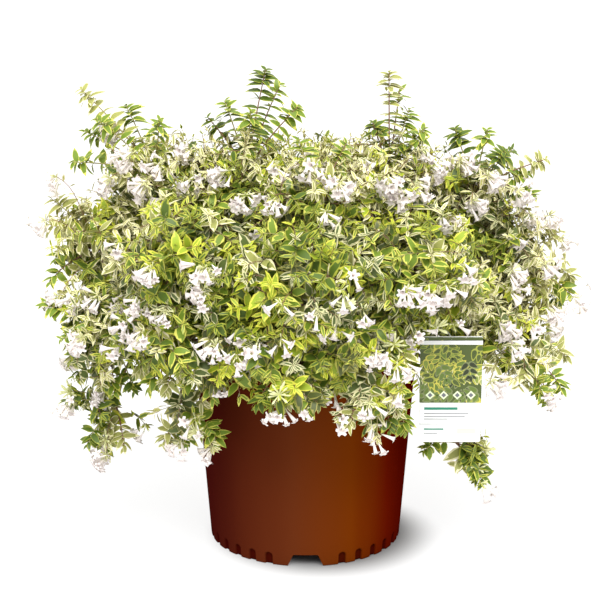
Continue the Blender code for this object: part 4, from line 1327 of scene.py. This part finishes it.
def pot_section():
    """The pot's section: up the inside, over the rolled rim, down the outside and in under the floor."""
    axis = 0.0005  # how near the flat middle comes to the pot's axis
    under_rim = POT_HEIGHT - RIM_HEIGHT
    floor = DRAIN_HEIGHT + WALL
    lip = 0.0018
    top_in = RIM_RADIUS - 2 * WALL

    def wall(height, inward=0.0):
        return wall_radius(height) - inward, height

    section = [(axis, WALL), (PAD_RADIUS - WALL, WALL), (PAD_RADIUS - 0.0006, floor)]
    section += line(wall(floor, WALL), wall(under_rim, WALL), 4)
    section += [wall(under_rim, WALL), (top_in, under_rim + 0.004)]
    section += arc((top_in + lip, POT_HEIGHT - lip), lip, 180, 90, 4)
    section += arc((RIM_RADIUS - lip, POT_HEIGHT - lip), lip, 90, 0, 4)
    section += line((RIM_RADIUS, POT_HEIGHT - 2 * lip), (RIM_RADIUS - 0.0004, under_rim + lip), 3)
    section += arc((RIM_RADIUS - 0.0004 - lip, under_rim + lip), lip, 0, -80, 4)
    neck = wall_radius(under_rim)
    section += [(neck + 0.0008, under_rim - 0.0002), (neck, under_rim - 0.0012)]
    band = 0.020  # up to here the rows are close, for the dents
    section += line(wall(under_rim - 0.003), wall(band), 9)
    section += line(wall(band), wall(0.002), 14)
    section += arc((FOOT_RADIUS - lip, lip), lip, 0, -90, 4)
    foot_in = FOOT_RADIUS - FOOT_RING
    section += line((FOOT_RADIUS - 0.004, 0.0), (foot_in, 0.0), 2)
    section += line((foot_in, 0.0), (foot_in - 0.002, DRAIN_HEIGHT), 3)
    section += [(foot_in - 0.002, DRAIN_HEIGHT), (PAD_RADIUS + 0.002, DRAIN_HEIGHT), (PAD_RADIUS, 0.0)]
    return section + [(axis, 0.0)]


def dent_depth(angle, height):
    """How far the wall is pressed in at a place: an arch a finger wide, in rows between the notches."""
    share = math.tau / NOTCHES
    along = angle % share - share / 2
    if abs(along) > DENTS_BETWEEN_NOTCHES / 2 * DENT_PITCH:
        return 0.0
    offset = (along + DENTS_BETWEEN_NOTCHES / 2 * DENT_PITCH) % DENT_PITCH - DENT_PITCH / 2
    across = abs(offset) * FOOT_RADIUS
    half = DENT_WIDTH / 2
    spring = DENT_HEIGHT - half
    inside = half - math.hypot(across, max(0.0, height - spring))
    return DENT_DEPTH * portion(inside, 0.0, DENT_SLOPE)


def notch_cutter(angle):
    """A drain notch with rounded upper corners, wider at the ground, as a closed solid."""
    corner, below = 0.003, 0.004
    slope = (NOTCH_FOOT - NOTCH_TOP) / 2 / NOTCH_HEIGHT
    outline = [(NOTCH_FOOT / 2 + slope * below, -below)]
    outline += arc((NOTCH_TOP / 2 - corner + 0.001, NOTCH_HEIGHT - corner), corner, 25, 90, 5)
    outline += [(-across, up) for across, up in reversed(outline)]
    turn = Matrix.Rotation(angle, 4, "Z")
    ends = (FOOT_RADIUS - 0.020, FOOT_RADIUS + 0.010)
    rings = [[turn @ Vector((across, -out, up)) for across, up in outline] for out in ends]
    return add_object("notch_cutter", ring_solid("notch_cutter", rings))


def pot_columns():
    """Angles round the pot, closer where the dents are."""
    share = math.tau / NOTCHES
    half = 0.62 * DENT_WIDTH / FOOT_RADIUS
    first = (DENTS_BETWEEN_NOTCHES - 1) / 2 * DENT_PITCH
    edges = [0.0]
    for dent in range(DENTS_BETWEEN_NOTCHES):
        middle = share / 2 - first + dent * DENT_PITCH
        edges += [middle - half, middle + half]
    edges.append(share)
    found = []
    for index, (low, high) in enumerate(zip(edges, edges[1:])):
        steps = 12 if index % 2 else max(2, round((high - low) / math.radians(1.8)))
        found += [low + (high - low) * step / steps for step in range(steps)]
    return [angle + share * turn for turn in range(NOTCHES) for angle in found]


def build_pot(plastic):
    """The pot: the section turned round, with the dents pressed in and the notches cut out."""
    angles, rings = pot_columns(), []
    for radius, height in pot_section():
        dented = radius > FOOT_RADIUS - 0.003 and height < DENT_HEIGHT + 0.002
        outs = [radius - (dent_depth(angle, height) if dented else 0.0) for angle in angles]
        turned = zip(outs, angles)
        rings.append([(out * math.sin(angle), -out * math.cos(angle), height) for out, angle in turned])
    pot = add_piece("nursery_pot", ring_solid("nursery_pot", rings), [plastic], "pot_plastic", "pot")
    cutters = [notch_cutter(notch * math.tau / NOTCHES) for notch in range(NOTCHES)]
    for cutter in cutters:
        cut = pot.modifiers.new("drain", "BOOLEAN")
        cut.operation = "DIFFERENCE"
        cut.object = cutter
        cut.solver = "MANIFOLD"
    bpy.context.view_layer.update()
    graph = bpy.context.evaluated_depsgraph_get()
    whole = bpy.data.meshes.new_from_object(pot.evaluated_get(graph))
    pot.modifiers.clear()
    pot.data = whole
    for cutter in cutters:
        bpy.data.objects.remove(cutter)
    whole.shade_smooth()
    whole.set_sharp_from_angle(angle=SHARP_ON_POT)


def soil_edge():
    return wall_radius(SOIL_TOP) - WALL - 2 * CLEARANCE


def soil_height(radius):
    """The domed surface of the mix, without its crumbs."""
    return SOIL_TOP - SOIL_DOME * (radius / soil_edge()) ** 2


def build_soil(mix):
    """Potting mix with a crumbled surface, and a skirt down into the pot."""
    edge = soil_edge()
    rows, columns = 34, 120
    points = []
    for row in range(rows):
        radius = max(0.001, edge * row / (rows - 1))
        for angle in angles_round(columns):
            place = Vector((*polar(radius, angle), 0.0))
            crumb = 0.0018 * noise.noise(place * 260) + 0.0030 * noise.noise(place * 70)
            points.append((place.x, place.y, soil_height(radius) - 0.001 + crumb))
    points += [(*polar(edge * 0.995, angle), SOIL_TOP - 0.03) for angle in angles_round(columns)]
    triangles = grid_triangles(rows + 1, columns, True)
    data = mesh_from_arrays("soil_surface", points, triangles, np.zeros(len(triangles), int))
    add_piece("soil_surface", data, [mix], "potting_mix", "soil")


def build_chips():
    """Bark chips and white grit pressed into the mix."""
    rng = random.Random(SEED + 1)
    edge = soil_edge()
    chips = []
    for index in range(CHIPS):
        radius = edge * 0.96 * math.sqrt(rng.random())
        angle = rng.uniform(0, math.tau)
        height = soil_height(radius) + rng.uniform(-0.0005, 0.0012)
        turn = Matrix.Rotation(rng.uniform(0, math.tau), 4, "Z")
        turn = turn @ Matrix.Rotation(rng.uniform(-0.6, 0.6), 4, "X")
        grit = int(index % GRIT_EACH == 0)
        size = GRIT_SIZE if grit else (rng.uniform(0.004, 0.011), rng.uniform(0.002, 0.004))
        scale = Matrix.Diagonal((*size, 0.0016, 1.0))
        place = Matrix.Translation((*polar(radius, angle), height))
        chips.append((grit, place @ turn @ scale))
    templates = [chip_template(rng, mark) for mark in range(2)]
    finishes = [finish("chip_brown", "5A3E28", 0.9), finish("grit_white", "D9D6CC", 0.85)]
    add_piece("soil_chips", copies("soil_chips", templates, chips), finishes, "potting_mix")


def chip_template(rng, mark):
    """A broken chip: an icosphere of unit size with its corners moved."""
    bm = bmesh.new()
    bmesh.ops.create_icosphere(bm, subdivisions=1, radius=0.5)
    points = [vert.co * rng.uniform(0.75, 1.15) for vert in bm.verts]
    triangles = [[vert.index for vert in face.verts] for face in bm.faces]
    bm.free()
    return Template(np.array(points), np.array(triangles), np.full(len(triangles), mark))


# ---------------------------------------------------------------- label

PICTURE_FOOT = 0.376  # the picture's lower edge, as a share of the card's height
PRINTED_SPRIGS = 34
INKS = {
    "ground": "4E5C24", "white": "FFFFFF", "grey": "6E7076", "pale": "E4F0C8", "teal": "1F8468",
    "yellow": "CFC752", "cream": "DCD8A0", "olive": "A2A843", "green": "647A2C", "fresh": "86973A",
    "night": "2E3618", "moss": "7F8858",
}
LIGHT_LEAVES = (
    ("yellow", "green"), ("yellow", "fresh"), ("cream", "green"), ("olive", "green"), ("cream", "fresh"),
)
DARK_LEAVES = (("moss", "night"), ("olive", "ground"), ("moss", "green"))
LOZENGES = (0.17, 0.39, 0.61, 0.83)
# Bars of print, in shares of the card: left, right, middle height, thickness and ink
PRINTED_BARS = (
    (0.08, 0.62, 0.320, 0.024, "teal"), (0.08, 0.80, 0.272, 0.007, "grey"),
    (0.08, 0.74, 0.246, 0.007, "grey"), (0.08, 0.46, 0.220, 0.007, "grey"),
    (0.00, 1.00, 0.172, 0.004, "grey"), (0.08, 0.40, 0.124, 0.014, "teal"),
    (0.08, 0.30, 0.084, 0.007, "grey"), (0.62, 0.92, 0.104, 0.050, "pale"),
)
PRINT_STEP = 0.00012  # one printed layer over another
CARD_SECTION = ((-1, 0.0002), (-0.7, 0.0), (0.7, 0.0), (1, 0.0002))  # share of half its thickness, inset
CARD_FRONT = CARD_CENTRE.y - CARD_THICKNESS / 2


def card_point(across, up, layer):
    """A point on the card's face from shares of its width and height, on a layer in front of it."""
    return Vector((
        CARD_CENTRE.x + (across - 0.5) * CARD_WIDTH,
        CARD_FRONT - layer * PRINT_STEP,
        CARD_CENTRE.z + (up - 0.5) * CARD_HEIGHT,
    ))


def rounded_outline(left, right, low, high, radius, steps=6):
    """A rectangle with rounded corners, anticlockwise."""
    found = arc((right - radius, low + radius), radius, -90, 0, steps)
    found += arc((right - radius, high - radius), radius, 0, 90, steps)
    found += arc((left + radius, high - radius), radius, 90, 180, steps)
    found += arc((left + radius, low + radius), radius, 180, 270, steps)
    return found


class Printing:
    """Flat printed shapes on the card, each with its ink."""

    def __init__(self):
        self.bm = bmesh.new()

    def shape(self, outline, layer, ink):
        verts = [self.bm.verts.new((x, CARD_FRONT - layer * PRINT_STEP, z)) for x, z in outline]
        face = self.bm.faces.new(verts)
        face.material_index = list(INKS).index(ink)
        return face

    def block(self, left, right, low, high, layer, ink, radius=0.0003):
        a, b = card_point(left, low, layer), card_point(right, high, layer)
        self.shape(rounded_outline(a.x, b.x, a.z, b.z, radius), layer, ink)

    def lozenge(self, across, up, reach, layer, ink):
        middle = card_point(across, up, 0)
        corners = ((0, -1), (1, 0), (0, 1), (-1, 0))
        self.shape([(middle.x + reach * x, middle.z + reach * z) for x, z in corners], layer, ink)


def printed_leaf(printing, root, angle, length, inks, layer):
    """A leaf with a margin of another ink, as two outlines one over the other."""
    for size, ink, over in ((1.0, inks[0], 0.0), (0.74, inks[1], 0.002)):
        outline = []
        for turn in angles_round(14):
            along = 0.5 * length * (1 + size * math.cos(turn))
            aside = 0.24 * length * size * math.sin(turn) * (1 - 0.45 * math.cos(turn))
            outline.append((
                root.x + along * math.cos(angle) - aside * math.sin(angle),
                root.z + along * math.sin(angle) + aside * math.cos(angle),
            ))
        printing.shape(outline, layer + over, ink)


def printed_sprigs(printing, rng, low):
    """A plain pattern of sprigs with paired leaves, cut off at the picture's edges."""
    before = set(printing.bm.verts)
    for index in range(PRINTED_SPRIGS):
        across, up = rng.random(), rng.random()
        foot = card_point(across, low + (1 - low) * up, 0)
        angle = rng.uniform(0, math.tau)
        inks = rng.choice(DARK_LEAVES if rng.random() < 0.35 else LIGHT_LEAVES)
        for pair in range(3):
            reach = 0.0080 * pair
            root = foot + Vector((reach * math.cos(angle), 0.0, reach * math.sin(angle)))
            length = rng.uniform(0.012, 0.016) * (1 - 0.15 * pair)
            for turn, order in ((0.9, 0), (-0.9, 1), (0.0, 2))[: 3 if pair == 2 else 2]:
                layer = 2 + index * 0.02 + pair * 0.006 + order * 0.002
                printed_leaf(printing, root, angle + turn, length, inks, layer)
    corner, far = card_point(0, low, 0), card_point(1, 1, 0)
    cuts = ((corner, (-1, 0, 0)), (corner, (0, 0, -1)), (far, (1, 0, 0)), (far, (0, 0, 1)))
    for place, normal in cuts:
        fresh = [v for v in printing.bm.verts if v not in before]
        edges = {e for v in fresh for e in v.link_edges}
        faces = {f for v in fresh for f in v.link_faces}
        geom = [*fresh, *edges, *faces]
        bmesh.ops.bisect_plane(printing.bm, geom=geom, plane_co=place, plane_no=normal, clear_outer=True)


def build_card(board):
    """The card: a sheet with rounded corners and slightly broken edges."""
    half_width, half_height = CARD_WIDTH / 2, CARD_HEIGHT / 2
    outline = rounded_outline(
        CARD_CENTRE.x - half_width, CARD_CENTRE.x + half_width,
        CARD_CENTRE.z - half_height, CARD_CENTRE.z + half_height, CARD_CORNER,
    )
    rings = []
    for depth, inset in CARD_SECTION:
        y = CARD_CENTRE.y + depth * CARD_THICKNESS / 2
        flat = [(x - CARD_CENTRE.x, z - CARD_CENTRE.z) for x, z in outline]
        wide, high = 1 - 2 * inset / CARD_WIDTH, 1 - 2 * inset / CARD_HEIGHT
        rings.append([(CARD_CENTRE.x + x * wide, y, CARD_CENTRE.z + z * high) for x, z in flat])
    add_piece("card", ring_solid("card", rings), [board], "label_card", "label")


def build_card_print():
    """The plain printed design: a picture of sprigs over bars that stand for lines of print."""
    printing = Printing()
    printing.block(0.0, 1.0, PICTURE_FOOT, 0.993, 1, "ground", 0.0015)
    printed_sprigs(printing, random.Random(SEED + 2), PICTURE_FOOT)
    for across in LOZENGES:
        printing.lozenge(across, 0.450, 0.0056, 8, "pale")
        printing.lozenge(across, 0.450, 0.0030, 9, "grey")
    printing.block(0.00, 1.00, 0.925, 0.962, 8, "white", 0.0001)
    for left, right, up, thick, ink in PRINTED_BARS:
        printing.block(left, right, up - thick / 2, up + thick / 2, 1, ink, 0.0001)
    inks = [finish(f"ink_{name}", code, 0.4) for name, code in INKS.items()]
    data = bpy.data.meshes.new("card_print")
    printing.bm.to_mesh(data)
    printing.bm.free()
    add_piece("card_print", data, inks, "label_card")


def build_strap(route):
    """The strap, from the card's upper edge to a loop round a cane."""
    held = route[CARD_CANE_POINT]
    along = (route[CARD_CANE_POINT + 1] - route[CARD_CANE_POINT - 1]).normalized()
    cane = CANE_FOOT + (CANE_TIP - CANE_FOOT) * CARD_CANE_POINT / (CANE_POINTS - 1)
    loop_radius = cane + LOOP_GAP + STRAP_RADIUS
    level, raised = across_frame(along)
    ring = []
    for step in range(STRAP_STEPS + 1):
        angle = math.tau * step / STRAP_STEPS
        ring.append(held + loop_radius * (level * math.cos(angle) + raised * math.sin(angle)))
    top = CARD_CENTRE + Vector((0.0, 0.0, CARD_HEIGHT / 2 - 0.004))
    nearest = min(ring, key=lambda p: (p - top).length)
    arch = Vector((0.0, 0.0, 0.012))
    strap = interpolate_bezier(nearest, nearest.lerp(top, 0.35) + arch, top + arch, top, STRAP_STEPS)
    tubes = Tubes()
    tubes.add(ring, [0.8 * STRAP_RADIUS] * len(ring), 10)
    tubes.add(strap, [0.7 * STRAP_RADIUS] * len(strap), 10)
    strap_finish = finish("strap_finish", "DDE3DC", 0.35)
    add_piece("label_strap", tubes.mesh("label_strap"), [strap_finish], "label_card")


# ---------------------------------------------------------------- stage


def build_floor():
    """White ground that takes only a faint shadow; its glow fades out round the pot's foot, which paints a
    shadow under the pot and to its right.
    """
    bm = bmesh.new()
    bmesh.ops.create_circle(bm, cap_ends=True, segments=64, radius=FLOOR_RADIUS)
    floor = add_object("floor", mesh_from(bm, "floor"))
    floor.location.z = -0.0002
    paper = finish("floor_finish", "8C8C8C", 0.9, Specular_IOR_Level=0.0)
    nodes = Nodes(paper)
    glow = nodes.shader.inputs
    glow["Emission Color"].default_value = (1.0, 1.0, 1.0, 1.0)
    # painted shadow: the glow fades out near the pot
    strength = nodes.spread(nodes.distance(PAINTED_SHADOW_CENTRE), 0.0, FLOOR_GLOW, *PAINTED_SHADOW_FADE, "SMOOTHSTEP")
    nodes.link(strength, glow["Emission Strength"])
    floor.data.materials.append(paper)


def build_light():
    """A bright even sky and one wide soft sun."""
    world = bpy.data.worlds.new("studio")
    bpy.context.scene.world = world
    world.use_nodes = True
    background = world.node_tree.nodes["Background"]
    background.inputs["Color"].default_value = (1.0, 1.0, 1.0, 1.0)
    background.inputs["Strength"].default_value = SKY_STRENGTH
    light = bpy.data.lights.new("key", "SUN")
    light.energy = SUN_STRENGTH
    light.angle = SUN_ANGLE
    sun = add_object("key", light)
    sun.location = SUN_PLACE
    sun.rotation_euler = (SUN_TARGET - SUN_PLACE).to_track_quat("-Z", "Y").to_euler()


def build_camera():
    data = bpy.data.cameras.new("camera")
    data.lens = LENS
    data.sensor_width = SENSOR
    data.clip_end = 100.0
    camera = add_object("camera", data)
    camera.location = CAMERA_PLACE
    camera.rotation_euler = (math.pi / 2 - CAMERA_DOWN, 0.0, 0.0)
    bpy.context.scene.camera = camera
    view = bpy.context.scene.view_settings
    view.view_transform = "Standard"
    view.look = "None"


def main():
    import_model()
    bark = bark_finish()
    starts = cane_starts()
    coarse, fine = [
        {mass.name: cane_route(mass, start, count) for mass, start in zip(MASSES, starts)}
        for count in (CANE_POINTS, CANE_RINGS)
    ]
    build_pot(plastic_finish())
    build_soil(soil_finish())
    build_chips()
    build_crown(bark)
    build_canes(fine, bark)
    build_foliage(grow_plant(fine))
    build_card(card_finish())
    build_card_print()
    build_strap(coarse[CARD_CANE])
    build_floor()
    build_light()
    build_camera()


main()
